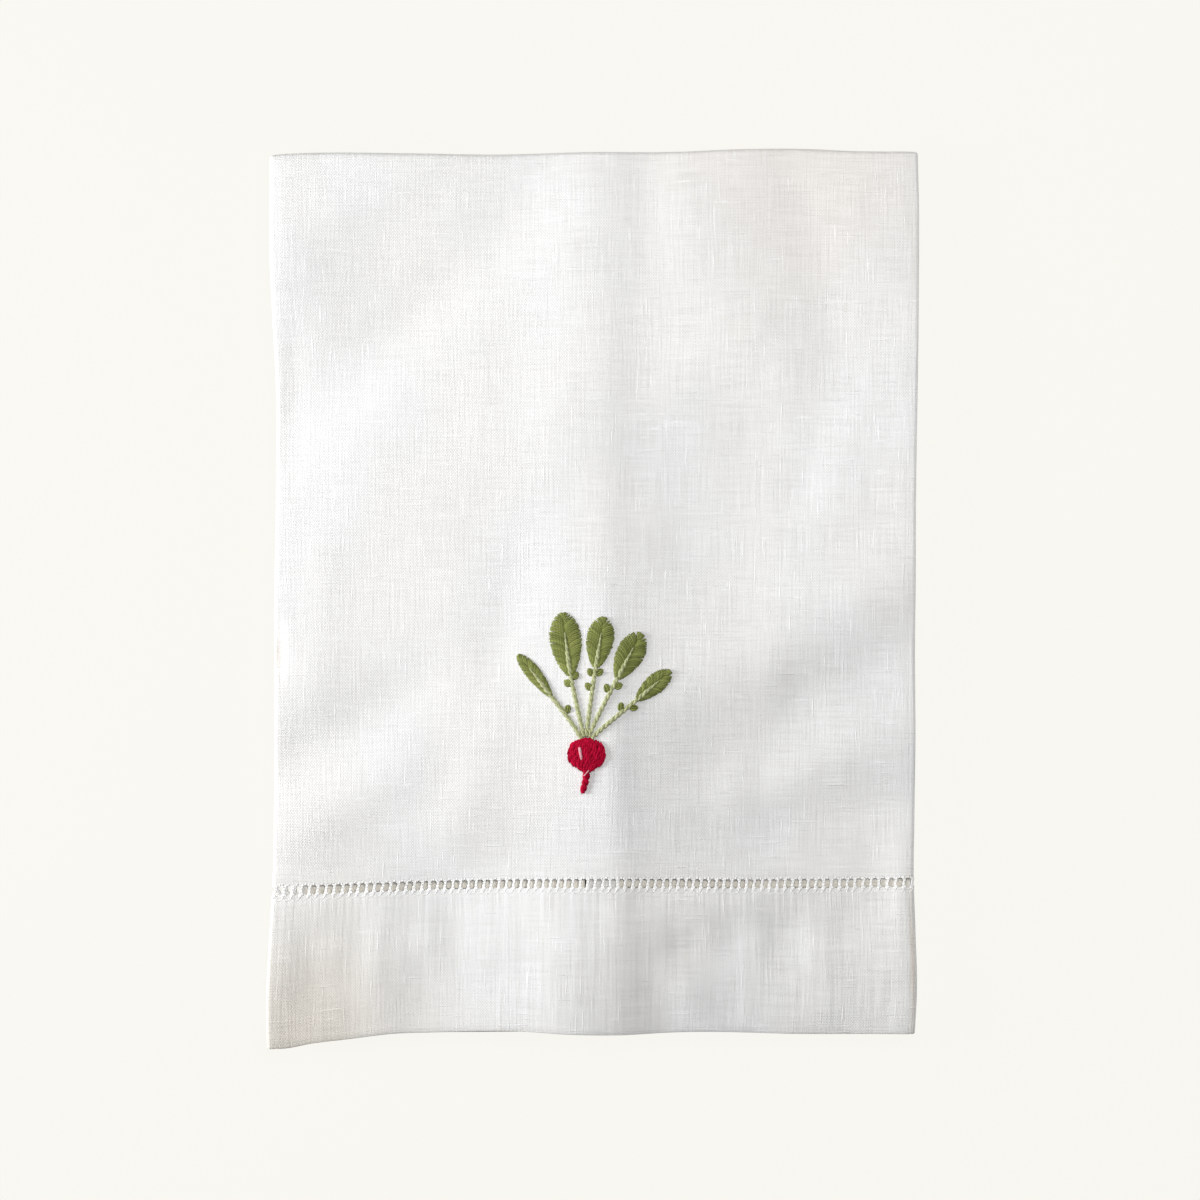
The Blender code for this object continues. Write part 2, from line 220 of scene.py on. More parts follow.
# Soft ridges (rise above 0) and troughs (below 0) of the front. Each follows a line that bows to its left by
# the given amount at its middle, and fades out at both ends. Where it leaves the towel, the line goes on.
FOLDS = (
    # what, from x, from y, to x, to y, bow, half width, rise
    ("middle crease, upper", 4.5, 110, 4, -10, 0, 6.5, 0.35),
    ("middle crease, lower", 1.5, 30, 8.5, -92, 0, 5, 0.40),
    ("middle crease, hem", 7, -70, 9, -142, 0, 5, 0.45),
    ("upper middle swell", 1, 172, -6, -14, 0, 15, 1.60),
    ("swell behind the leaves", -3, 34, 5, -112, 0, 17, 1.60),
    ("broad swell of the middle", 2, 20, 4, -140, 0, 32, 0.90),
    ("hem middle swell", -3, -64, -7, -170, 0, 18, 3.10),
    ("upper left trough", 8, 142, -112, 33, 6, 12, -1.45),
    ("upper left corner swell", -16, 162, -116, 66, 0, 16, 1.85),
    ("upper left corner fill", -102, 142, -96, 76, 0, 15, 0.90),
    ("left shoulder", -104, 24, 14, 54, 0, 17, 0.85),
    ("left hollow", -12, 34, -46, -72, 0, 8, -0.60),
    ("left swell", -74, 30, -80, -48, 0, 7, 0.45),
    ("left notch", -98, -21, -80, -18, 0, 4, -0.10),
    ("left trough", -108, -58, -32, -16, 0, 9, -1.20),
    ("left lower ridge", -98, -75, -40, -42, 0, 8, 0.60),
    ("ridge below the leaves", -26, -8, -45, -90, 0, 10, 0.75),
    ("trough above the hem", -86, -65, -8, -84, 0, 9, -1.00),
    ("hem left trough", -44, -64, -48, -142, 0, 12, -1.40),
    ("hem left hollow", -66, -70, -66, -142, 0, 7, -0.40),
    ("hem left swell", -91, -70, -110, -146, 0, 16, 1.50),
    ("hem edge droop", -130, -131, 130, -131, 0, 9, -1.00),
    ("upper right hollow", 14, 150, 17, 86, 0, 7, -0.50),
    ("right dome", 24, 130, 45, 52, 0, 18, 1.20),
    ("right side trough", 49, 138, 68, 28, 7, 8, -0.90),
    ("right upper swell", 93, 108, 96, -4, 0, 12, 1.10),
    ("right step", 66, 60, 57, 16, 0, 6, -0.50),
    ("right middle trough", 30, -12, 52, 70, 0, 16, -1.60),
    ("crosswise press line", 8, -1.8, 96, -1.2, 0, 3, 0.25),
    ("right diagonal ridge", -10, -36, 112, 27, -9, 12, 1.20),
    ("right diagonal furrow", 10, -58, 118, 3, 0, 11, -1.20),
    ("right lower ridge", 46, -56, 118, -28, 2, 7, 0.50),
    ("right lower trough", 14, -72, 114, -54, 2, 8, -1.00),
    ("right end swell", 92, -48, 90, -150, 0, 9, 1.10),
    ("hem right trough", 14, -99, 88, -91, 0, 8, -0.80),
    ("hem right swell", 46, -122, 98, -100, 0, 9, 0.45),
)

# Weaker and finer ones, which the solids don't have, in the same terms
FINE_FOLDS = (
    # what, from x, from y, to x, to y, bow, half width, rise
    ("left edge pinch", -88.2, -3, -88.4, -26, 0, 1.6, -0.70),
    ("fill of the right side trough", 49, 138, 68, 28, 7, 8, 0.28),
    ("fall right of the bulb", 3, -12, 8, -104, 0, 9, 0.42),
    ("ridge at the hem's foot", 23, -98, 39, -140, 0, 6, 0.85),
    ("drooping corner of the hem", -95, -92, -93, -150, 0, 12, 0.70),
    ("first dent under the row", 20, -84, 25, -106, 0, 5, -0.50),
    ("second ridge under the row", 44, -80, 47, -104, 0, 4.5, 0.40),
    ("third ridge under the row", 61, -83, 66, -112, 0, 5, 0.45),
    ("hump under the row", -45, -80, -48, -103, 0, 5, 0.50),
    ("crest at the middle of the hem", 2, -84, 3, -152, 0, 17, 1.10),
    ("shade above the leaves", 23, 54, 25, -2, 0, 9, -0.40),
    ("roll of the left rim", -93, 124, -94, -84, 0, 6.5, 0.45),
    ("shade above the row", 26, -74, 104, -70, 0, 6, -0.35),
    ("steep fall at the right", 41, -66, 63, -12, 0, 6, -0.30),
    ("ridge at the right", 34, -82, 56, 4, 0, 7, 0.35),
    ("foot of the right step", 62, 72, 53, 12, 0, 7, -0.40),
    ("swell above the upper left trough", -3, 138, -104, 37, 0, 8, 0.35),
    ("lift of the upper left trough", 8, 142, -112, 33, 6, 24, 0.70),
    ("highlight at the right end of the row", 87.5, -62, 86.5, -98, 0, 5, 0.50),
    ("fall from the upper left corner", -86, 160, -93, 50, 0, 22, 1.30),
    ("hollow in the left rim", -83.5, 88, -84.5, 28, 0, 3.5, -0.30),
    ("turned-in edge of the hem", -100, -90.6, 100, -88.2, 0, 1.2, 0.07),
    ("pucker right of the bulb", 20, -58, 52, -66, 3, 3, 0.16),
    ("hem streak, left", -60, -84, -63, -124, 0, 2.5, 0.12),
    ("hem streak, right", 28, -84, 30, -124, 0, 2.5, -0.12),
)

# Leaves of the radish, each bent along an arc from the crown
Leaf = namedtuple("Leaf", "name start lean bend length blade_length blade_half_width")
LEAVES = (
    # name, start across, lean deg, bend deg, length, blade length, blade half width
    Leaf("leaf_1", -2.9, -35.0, -16.0, 28.5, 15.0, 1.9),
    Leaf("leaf_2", -1.5, -8.5, 6.0, 35.0, 18.0, 4.3),
    Leaf("leaf_3", -0.1, 8.5, 3.0, 33.5, 14.5, 3.7),
    Leaf("leaf_4", 1.3, 26.0, 8.0, 32.0, 14.5, 3.8),
    Leaf("leaf_5", 2.7, 48.0, 7.0, 28.0, 12.5, 2.6),
)

# Embroidery, as in the solids
PAD_CLEARANCE = 0.3 * MM
BULB_CENTRE = (-1.8 * MM, -43.9 * MM)
BULB_HALF_WIDTH = 5.2 * MM
BULB_LENGTH = 9.8 * MM
ROOT_LENGTH = 6.0 * MM
ROOT_LEAN = -1.2 * MM

# Stitches
STITCH_SIDES = 6
STITCH_RINGS = 7
ARCH_POWER = 0.45
ARCH_SINK = 0.12 * MM

# Blades of the leaves
BLADE_STITCH_STEP = 0.54 * MM
BLADE_STITCH_HALF_WIDTH = 0.32 * MM
BLADE_STITCH_FLATNESS = 0.95
BLADE_STITCH_SLANT = 2.3 * MM
BLADE_STITCH_BOW = 0.12
BLADE_STITCH_END_SHARE = 0.72
BLADE_STITCHES_BEFORE = 3
BLADE_STITCHED_SHARE = 0.97
BLADE_OVERHANG = 0.1 * MM
MIDRIB_OVERLAP = 0.14 * MM
BLADE_WIDEST = 1.30
BLADE_ROUNDNESS = 0.50
BLADE_HEIGHT = 0.34 * MM
BLADE_ARCH = 1.5 * BLADE_HEIGHT
BLADE_HEIGHT_SPREAD = 0.05 * MM
BLADE_LAST_TIP = 0.997

# Stems
STEM_RADIUS = 0.40 * MM
STEM_HEIGHT = 0.26 * MM
STEM_INTO_BLADE = 0.70
STEM_TAPER = 0.72
STEM_TAPER_START = 0.72
STEM_DIVE = 0.3 * MM
STEM_DIVE_START = 0.97
STEM_POINTS = 64
CROWN_PINCH = 0.5
CROWN_RUN = 0.6

# Two strands laid round each other, in the stems and in the root
ROPE_TWIST = 3.4 * MM
ROPE_WIDTH_SHARE = 0.75
ROPE_HEIGHT_SHARE = 0.55

# Bulb and its root
BULB_CROWN_REACH = 0.53
BULB_CROWN_POWER = 2.3
BULB_FOOT_SHARE = 0.85
BULB_FOOT_POWER = 1.9
BULB_SIDE_MARGIN = 0.35
BULB_STITCH_STEP = 0.55 * MM
BULB_STITCH_LENGTH = 2.3 * MM
BULB_STITCH_SPREAD = (0.85, 1.2)
BULB_STITCH_OVERLAP = 0.86
BULB_STITCH_HALF_WIDTH = 0.34 * MM
BULB_STITCH_FLATNESS = 0.8
BULB_STITCH_TILT = 0.12
BULB_LEAST_STITCH = 0.06
BULB_ROUND_OFF = (0.02, 0.24)
BULB_ARCH = 0.30 * MM
BULB_ARCH_SINK = 0.10 * MM
BULB_HEIGHT = 1.1 * MM
BULB_DOME = 0.8 * BULB_HEIGHT
ROOT_RADIUS = 0.66 * MM
ROOT_HEIGHT = 0.45 * MM
ROOT_DROP = 0.15 * MM
ROOT_TAPER = 0.8
ROOT_START = 0.8 * MM
ROOT_OVERRUN = 0.2 * MM
ROOT_POINTS = 40

# Leaflets
LEAFLETS = (
    # leaf, share of its length, side (-1 left, 1 right), stitches
    (1, 0.26, 1, 3),
    (2, 0.40, -1, 4), (2, 0.45, 1, 4),
    (3, 0.37, -1, 3), (3, 0.49, -1, 3), (3, 0.50, 1, 3),
    (4, 0.40, -1, 3), (4, 0.46, 1, 4),
    (5, 0.36, -1, 3), (5, 0.44, 1, 3),
)
LEAFLET_LENGTH = 2.4 * MM
LEAFLET_HALF_WIDTH = 0.95 * MM
LEAFLET_OFFSET = 0.6 * MM
LEAFLET_TURN_DEG = 42.0
LEAFLET_SHORTENING = 0.45
LEAFLET_ROUNDING = 2.2
LEAFLET_ARCH = 0.5 * MM
LEAFLET_HALF_SIZES = (0.30 * MM, 0.24 * MM)

# Pale stitches on the bulb, their places as offsets from its centre
HIGHLIGHTS = (
    # from across, along, to across, along, base, arch, half width at the start, at the end, half height
    (-2.0, 2.6, -1.35, -1.3, 0.88, 0.50, 0.46, 0.34, 0.25),
    (-0.75, -5.65, 0.65, -4.05, 1.0, 0.35, 0.17, 0.17, 0.14),
)

# Picture: where the photo's centre lies on the towel, and how wide a stretch its frame takes in
VIEW_CENTRE = (1.96 * MM, -0.42 * MM)
VIEW_WIDTH = 336.5 * MM
VIEW_HEIGHT = 7.0 * MM
LENS = 85.0
SENSOR = 36.0

# Light, and the surface under the towel
LIGHTS = (
    # name, azimuth deg, elevation deg, distance, size, power
    ("window", 178.5, 18.0, 0.60, 0.24, 4.2),
    ("overhead", 60.0, 70.0, 0.45, 0.28, 1.19),
)
FILL_STRENGTH = 0.20
FLOOR_SIZE = 4.0
FLOOR_COLOUR = (0.953, 0.938, 0.886)
FLOOR_GLOW = 0.965
FLOOR_LIT_SHARE = 0.03

# Linen: its threads, with the width of their unevenness and its run along them
WARP_PITCH = 0.365 * MM
WEFT_PITCH = 0.43 * MM
SWAY = 0.6 * MM
SWAY_SCALE = 90.0
CROSSING_SOFTNESS = 0.15
UNDER_SHARE = 0.4
STREAK_WIDTH = 0.5 * MM
WARP_STREAK_RUN = 16 * MM
WEFT_STREAK_RUN = 14 * MM
SLUB_SIZE = (0.7 * MM, 11 * MM)
SLUB_STEP = (0.62, 0.72)
BAND_SIZE = (1.2 * MM, 50 * MM)
ROUGHER_STEP = (PANEL_START + 35 * MM, PANEL_START + 115 * MM, 0.9, 1.25)

# By the hemstitched row, in millimetres from it
BELOW_ROW_STEP = (-1.2, -2.2)
ABOVE_ROW_STEP = (1.0, 1.6)
RIB_FADE = 7.0
FAN_FADE = 1.6

# What each form of the linen adds to its tone, and in millimetres to its fine relief, in the order in which
# linen_material gathers them. The tone of weave, ribs and fans follows their relief, darker in the hollows:
# painted shade. That of over is a painted sheen, lighter where the lengthwise thread lies on top
LINEN_FORMS = (
    # form, tone, relief
    ("weave", 0.45, 0.055),
    ("over", 0.55, 0.03),
    ("unevenness", 0.8, 0.09),
    ("slubs", 0.65, 0.06),
    ("hem bands", 0.9, 0.0),
    ("ribs", 0.08, 0.03),
    ("fans", 0.08, 0.03),
)
TONE_STEP = (-0.35, 1.05)
LINEN_DARK = (0.67, 0.66, 0.64)
LINEN_WARM = (0.93, 0.925, 0.91)
LINEN_COOL = (0.915, 0.92, 0.925)
CLOUD_SCALE = (26.0, 20.0)
CLOUD_STEP = (0.35, 0.65)

# Painted shade and reflection on the linen, soft patches multiplied into its colour: warm painted shade at
# the lower left of the hem, a warm painted reflection at the upper right, painted shade in the pinch of the
# left rim and on the right rim of the hem, and faint painted shade over the lower right
PAINTED_SHADE_AND_REFLECTION = (
    # centre across and along the sheet, reach across and along it, colour
    ((PANEL_START + 8 * MM, 4 * MM), (26 * MM, 26 * MM), (0.935, 0.88, 0.80)),
    ((PANEL_END - 30 * MM, HALF_LENGTH - 4 * MM), (40 * MM, 40 * MM), (1.0, 0.965, 0.935)),
    ((PANEL_START - 0.2 * MM, 108 * MM), (1.5 * MM, 6 * MM), (0.82, 0.775, 0.745)),
    ((PANEL_END - 0.3 * MM, 20 * MM), (0.7 * MM, 22 * MM), (0.86, 0.81, 0.75)),
    ((PANEL_START + 126 * MM, 82 * MM), (32 * MM, 42 * MM), (0.955, 0.955, 0.957)),
)

# Shade of the turned-in sides, seen through the row's holes: less of it on the side hem and higher up
SHADE_TINT = (0.985, 0.94, 0.85)
SHADE_LEFT_STEP = (LEFT_SIDE_WIDTH - 7 * MM, LEFT_SIDE_WIDTH - 9 * MM)
SHADE_RIGHT_STEP = (PANEL_END + TURN_LENGTH, PANEL_END + TURN_LENGTH + 1 * MM)
SHADE_ROW_STEP = (6.0, 4.5)
SHADE_HIGH_STEP = (2.0, 3.8, 1.0, 0.5)
SIDE_HEM_STEP = (SHEET_WIDTH - SIDE_HEM_WIDTH, SHEET_WIDTH - SIDE_HEM_WIDTH - 0.5 * MM, 0.3, 1.0)

# Threads
THREADS = {
    # name: dark, light, roughness, twist length, sheen, specular
    "white_thread": ((0.90, 0.90, 0.89), (0.99, 0.99, 0.98), 0.8, 0.9, 0.1, 0.2),
    "green_thread": ((0.085, 0.098, 0.018), (0.30, 0.335, 0.095), 0.6, 0.8, 0.03, 0.2),
    "stem_thread": ((0.25, 0.27, 0.12), (0.58, 0.60, 0.35), 0.6, 0.9, 0.04, 0.2),
    "red_thread": ((0.21, 0.0, 0.010), (0.55, 0.002, 0.040), 0.7, 0.9, 0.0, 0.08),
    "pink_thread": ((0.60, 0.27, 0.31), (0.78, 0.46, 0.50), 0.6, 0.9, 0.0, 0.2),
}
THREAD_STRANDS = 3.0
FIBRE_SCALE = (14.0, 1.4)
RIDGE_RELIEF = 0.05
FIBRE_RELIEF = 0.03


def smooth(share):
    """0 at 0 and below, 1 at 1 and above, with no corner between."""
    share = np.clip(share, 0.0, 1.0)
    return share * share * (3 - 2 * share)


def mix(low, high, share):
    return low * (1 - share) + high * share


def read_edge(table, at):
    """The edge's other coordinate at places along it, on a smooth curve through the rows of its table."""
    rows = np.array(table) * MM
    along, value = rows.T
    slope = np.gradient(value, along)
    at = np.clip(at, along[0], along[-1])
    after = np.clip(np.searchsorted(along, at), 1, len(along) - 1)
    before = after - 1
    step = along[after] - along[before]
    share = (at - along[before]) / step
    bend = step * share * (1 - share) * ((1 - share) * slope[before] - share * slope[after])
    return mix(value[before], value[after], smooth(share)) + bend



def fold_height(x, y, row):
    """The height of one row of FOLDS at places x, y."""
    _, x0, y0, x1, y1, bow, half_width, rise = row
    start = np.array((x0, y0)) * MM
    run = np.array((x1, y1)) * MM - start
    length = np.linalg.norm(run)
    share = ((x - start[0]) * run[0] + (y - start[1]) * run[1]) / length**2
    leftward = (run[0] * (y - start[1]) - run[1] * (x - start[0])) / length
    off = (leftward - 4 * share * (1 - share) * bow * MM) / (half_width * MM)
    fade = smooth(share / FADE_SHARE) * smooth((1 - share) / FADE_SHARE)
    return rise * MM * fade * np.exp(-off * off)


def soft_noise(x, y, cell_x, cell_y, seed):
    """Smooth random heights between -1 and 1, with one hump or hollow to a cell."""
    values = np.random.default_rng(seed).uniform(-1, 1, (NOISE_CELLS, NOISE_CELLS))
    column, row = x / cell_x, y / cell_y
    left, low = np.floor(column).astype(int), np.floor(row).astype(int)
    across, up = smooth(column - left), smooth(row - low)

    def value(step_x, step_y):
        return values[(left + step_x) % NOISE_CELLS, (low + step_y) % NOISE_CELLS]

    return mix(mix(value(0, 0), value(1, 0), across), mix(value(0, 1), value(1, 1), across), up)


def crumple(x, y):
    """Small uneven creasing on top of the folds, strongest in the hem, and stronger at the lower right."""
    in_hem = smooth((read_edge(HEMSTITCH_ROW, x) - y) / HEM_CRUMPLE_RUN)
    right = smooth((x - RIGHT_CRUMPLE_START) / RIGHT_CRUMPLE_RUN)
    lower = smooth((RIGHT_CRUMPLE_TOP - y) / RIGHT_CRUMPLE_TOP)
    amount = 1 + HEM_CRUMPLE_SHARE * in_hem + RIGHT_CRUMPLE_SHARE * right * lower
    layers = (
        height * soft_noise(x, y, cell_x * MM, cell_y * MM, seed)
        for seed, (cell_x, cell_y, height) in enumerate(CRUMPLES)
    )
    return amount * MM * sum(layers)

def relief(x, y):
    """How far the front half stands above where it would lie pressed flat."""
    below_top = read_edge(TOP_EDGE, x) - y
    height = LOFT * (TOP_LOFT_SHARE + (1 - TOP_LOFT_SHARE) * smooth(below_top / LOFT_RUN))
    height = height + sum(fold_height(x, y, row) for row in FOLDS + FINE_FOLDS) + crumple(x, y)
    return (height + np.hypot(height, RELIEF_FLOOR)) / 2


def hem_form(x, y):
    """The sunk hemstitched row, and the slightly thicker hem below it."""
    above_row = (y - read_edge(HEMSTITCH_ROW, x)) / (ROW_WIDTH / 2)
    return HEM_RISE * smooth(-above_row) - ROW_DEPTH * np.exp(-above_row * above_row)


def fold_along(v):
    """For places along the sheet: how far up from the hem's fold they lie, and how the folds turn them."""
    nearer = np.minimum(v, SHEET_LENGTH - v)
    front = np.where(v < SHEET_LENGTH / 2, 1.0, -1.0)
    turned = np.clip((nearer - HEM_TURN - HALF_LENGTH) / TOP_TURN, 0, 1) * math.pi / 2
    hem_angle = np.clip((HEM_TURN - nearer) / HEM_TURN, 0, 2) * math.pi / 2
    return {
        "up": np.clip(np.abs(nearer) - HEM_TURN, 0, HALF_LENGTH),
        "level": front * np.cos(turned),
        "bulge": np.sin(turned),
        "depth": HEM_LAYER_GAP * (1 - np.cos(hem_angle)) / 2,
        "hem_bulge": HEM_LAYER_GAP * np.sin(hem_angle) / 2,
    }


def fold_across(u):
    """For places across the sheet: share of the panel's width, and how the side folds turn them."""
    right = u > (PANEL_START + PANEL_END) / 2
    side_width = np.where(right, RIGHT_SIDE_WIDTH, LEFT_SIDE_WIDTH)
    nearer = np.where(right, SHEET_WIDTH - u, u)
    angle = np.clip((nearer - side_width) / TURN_LENGTH, 0, 1) * math.pi
    behind = np.clip(side_width - nearer, 0, None)
    on_panel = np.clip(nearer - side_width - TURN_LENGTH, 0, None)
    inward = (behind + on_panel) / PANEL_WIDTH
    return {
        "share": np.where(right, 1 - inward, inward),
        "level": -np.cos(angle),
        "bulge": np.sin(angle) * np.where(right, 1.0, -1.0),
        "behind": behind,
    }


def place(u, v):
    """Where places on the middle surface of the sheet lie once it is folded, as an array of x, y, z."""
    u, v = np.broadcast_arrays(np.asarray(u, float), np.asarray(v, float))
    along, across = fold_along(v), fold_across(u)
    is_front = along["level"] > 0
    turned_in = across["behind"] > 0

    mean_y = mix(read_edge(FRONT_HEM_EDGE, 0.0), read_edge(TOP_EDGE, 0.0), along["up"] / HALF_LENGTH)
    left = read_edge(LEFT_EDGE, mean_y) + TURN_RADIUS + THICKNESS / 2
    right = read_edge(RIGHT_EDGE, mean_y) - TURN_RADIUS - THICKNESS / 2
    flat_x = mix(left, right, across["share"])

    hem_edge = np.where(is_front, read_edge(FRONT_HEM_EDGE, flat_x), read_edge(BACK_HEM_EDGE, flat_x))
    hem_edge = hem_edge + THICKNESS / 2 + HEM_LAYER_GAP / 2
    row_rise = SIDE_ROW_RISE * turned_in + BACK_ROW_RISE * ~is_front
    row_y = read_edge(HEMSTITCH_ROW, flat_x) + row_rise * read_edge(ROW_RISE_SHARE, flat_x)
    top = read_edge(TOP_EDGE, flat_x) - OUTER_LEVEL * TOP_SQUASH
    in_hem = mix(hem_edge, row_y, along["up"] / HEM_WIDTH)
    in_body = mix(row_y, top, (along["up"] - HEM_WIDTH) / BODY_LENGTH)
    flat_y = np.where(along["up"] < HEM_WIDTH, in_hem, in_body)

    radius = TURN_RADIUS - along["depth"]
    above_hem = smooth((along["up"] - HEM_WIDTH + GAP_RISE_START) / GAP_RISE_RUN)
    closing = LAYER_STEP - THICKNESS - read_edge(SIDE_GAP, flat_x)
    closing = closing * smooth(across["behind"] / GAP_RUN) * above_hem
    level = MIDDLE_LEVEL + across["level"] * radius + closing
    on_front = np.clip(across["level"], 0, 1) * is_front
    edge_distance = np.minimum(flat_x - left, right - flat_x)
    drop = EDGE_DROP * np.exp(-((edge_distance / EDGE_DROP_RUN) ** 2))
    level = level + on_front * (hem_form(flat_x, flat_y) - drop)

    side = (1 - across["level"]) / 2
    taken = mix(BACK_SIDE_SHARE * side, 1 - (1 - FRONT_SIDE_SHARE) * side, (1 + along["level"]) / 2)
    x = flat_x + across["bulge"] * radius
    y = flat_y + along["bulge"] * level * TOP_SQUASH - along["hem_bulge"]
    z = OUTER_LEVEL + along["level"] * level + relief(flat_x, flat_y) * taken
    return np.stack((x, y, z), axis=-1)


def on_cloth(u, v, height):
    """Places above the sheet's right side by the given height, over its middle surface."""
    step = 0.05 * MM
    across = place(u + step, v) - place(u - step, v)
    along = place(u, v + step) - place(u, v - step)
    normal = np.cross(across, along)
    normal /= np.linalg.norm(normal, axis=-1, keepdims=True)
    return place(u, v) + normal * np.asarray(height)[..., None]


def bundle_centres():
    """Places across the whole sheet of the bundles of drawn threads, spaced as the front shows."""
    pitch_table = np.array(ROW_PITCH) * MM
    left = read_edge(LEFT_EDGE, read_edge(HEMSTITCH_ROW, 0.0))

    def pitch(u):
        return float(np.interp(u - PANEL_START + left, pitch_table[:, 0], pitch_table[:, 1]))

    u = PANEL_START
    rightward = [u]
    while rightward[-1] + SIDE_HEM_CLEARANCE < SHEET_WIDTH - SIDE_HEM_WIDTH:
        rightward.append(rightward[-1] + pitch(rightward[-1]))
    leftward = []
    while u - SIDE_HEM_CLEARANCE > SIDE_HEM_WIDTH:
        u -= pitch(u)
        leftward.append(u)
    return np.array(leftward[::-1] + rightward)


class Bundles:
    """The bundles of one hemstitched row: their centres, their half widths at the ends and at the waist."""

    def __init__(self, seed):
        rng = np.random.default_rng(seed)
        centre = bundle_centres()
        pitch = np.gradient(centre)
        self.centre = centre + rng.normal(0, BUNDLE_JITTER, len(centre))
        self.end = pitch * BUNDLE_END_SHARE
        unevenness = rng.uniform(1 - WAIST_UNEVENNESS, 1 + WAIST_UNEVENNESS, len(pitch))
        self.waist = pitch * BUNDLE_WAIST_SHARE * unevenness
        self.lean = rng.normal(BUNDLE_LEAN, BUNDLE_LEAN_SPREAD, len(pitch))

    def half_width(self, index, station):
        return mix(self.waist[index], self.end[index], abs(station) ** WAIST_POWER)

    def shift(self, index, station):
        """How far a bundle leans sideways at a station."""
        return self.lean[index] * station * (1 - station * station) * LEAN_SCALE


def columns(bundles):
    """Places across the sheet of its columns: all of them, and those that run its whole length."""
    edges = np.sort(np.concatenate((bundles.centre - bundles.end, bundles.centre + bundles.end)))
    turns = []
    for start in (LEFT_SIDE_WIDTH, PANEL_END):
        turns.extend(np.linspace(start, start + TURN_LENGTH, TURN_COLUMNS + 1))
    clear = [edge for edge in edges if np.min(np.abs(np.array(turns) - edge)) > COLUMN_CLEARANCE]
    on_panel = [edge for edge in clear if LEFT_SIDE_WIDTH < edge < PANEL_END + TURN_LENGTH]
    on_left = [edge for edge in clear if edge < LEFT_SIDE_WIDTH]
    on_right = [edge for edge in clear if edge > PANEL_END + TURN_LENGTH]
    always = [*turns, 0.0, SHEET_WIDTH]
    by_folds = on_left[-SIDE_NEAR_FOLD:] + on_right[:SIDE_NEAR_FOLD]
    spaced = on_left[:-SIDE_NEAR_FOLD:SIDE_EVERY] + on_right[:SIDE_NEAR_FOLD:-SIDE_EVERY]
    return sorted(clear + always), sorted(on_panel + always + by_folds + spaced)


def half_rows(hem_rows, body_rows):
    """Rows of one half, from the raw edge under its hem on: (place along, is an edge of the holes)."""
    row = HEM_WIDTH + HEM_TURN
    under = -np.linspace(0, HEM_UNDER_LENGTH, UNDER_ROWS)[::-1] - HEM_TURN
    turn = np.linspace(-HEM_TURN, HEM_TURN, HEM_TURN_ROWS + 1)[1:-1]
    hem = np.linspace(0, HEM_WIDTH - HOLE_HALF_HEIGHT, hem_rows)[:-1] + HEM_TURN
    body = np.linspace(HEM_WIDTH + HOLE_HALF_HEIGHT, HALF_LENGTH, body_rows)[1:] + HEM_TURN
    below = [(v, False) for v in (*under, *turn, *hem)]
    above = [(v, False) for v in body]
    return below + [(row - HOLE_HALF_HEIGHT, True), (row + HOLE_HALF_HEIGHT, True)] + above


def rows():
    """Rows of the whole sheet, from the front's hem over the crosswise fold to the back's."""
    top = np.linspace(HALF_LENGTH + HEM_TURN, SHEET_LENGTH - HALF_LENGTH - HEM_TURN, TOP_TURN_ROWS + 1)
    front = half_rows(HEM_ROWS, BODY_ROWS)
    back = half_rows(BACK_HEM_ROWS, BACK_BODY_ROWS)
    return front + [(v, False) for v in top[1:-1]] + [(SHEET_LENGTH - v, edge) for v, edge in reversed(back)]


class Sheet:
    """Gathers the vertices, by their places on the flat cloth, and the faces of the sheet."""

    def __init__(self):
        self.places = []
        self.faces = []

    def add_row(self, across, v):
        """Adds vertices across the sheet, and gives the number of each by its place."""
        first = len(self.places)
        self.places.extend((u, v) for u in across)
        return dict(zip(across, range(first, len(self.places))))

    def join(self, before, after):
        """Four-sided faces between two lines of as many vertices."""
        for left in range(len(before) - 1):
            self.faces.append([before[left], before[left + 1], after[left + 1], after[left]])

    def join_rows(self, low, high):
        """Faces between two rows, of which one may have more vertices than the other."""
        shared = list(min(low, high, key=len))
        for u0, u1 in zip(shared, shared[1:]):
            below, above = ([vertex for u, vertex in row.items() if u0 <= u <= u1] for row in (low, high))
            self.faces.append(below + above[::-1])

    def join_stretch(self, low, high, start, end):
        """The part of the row of holes at a side hem, where no threads are drawn."""
        members = [u for u in low if start <= u <= end]
        self.join([low[u] for u in members], [high[u] for u in members])

    def add_bundle(self, low, high, v_low, v_high, bundles, index):
        """A strip across the row of holes, narrow at its waist."""
        centre, end = bundles.centre[index], bundles.end[index]
        members = [u for u in low if abs(u - centre) < end * 1.001]
        before = [low[u] for u in members]
        for station in WAIST_STATIONS:
            narrowing = bundles.half_width(index, station) / end
            middle = centre + bundles.shift(index, station)
            v = mix(v_low, v_high, (station + 1) / 2)
            first = len(self.places)
            self.places.extend((middle + (u - centre) * narrowing, v) for u in members)
            after = range(first, len(self.places))
            self.join(before, after)
            before = after
        self.join(before, [high[u] for u in members])


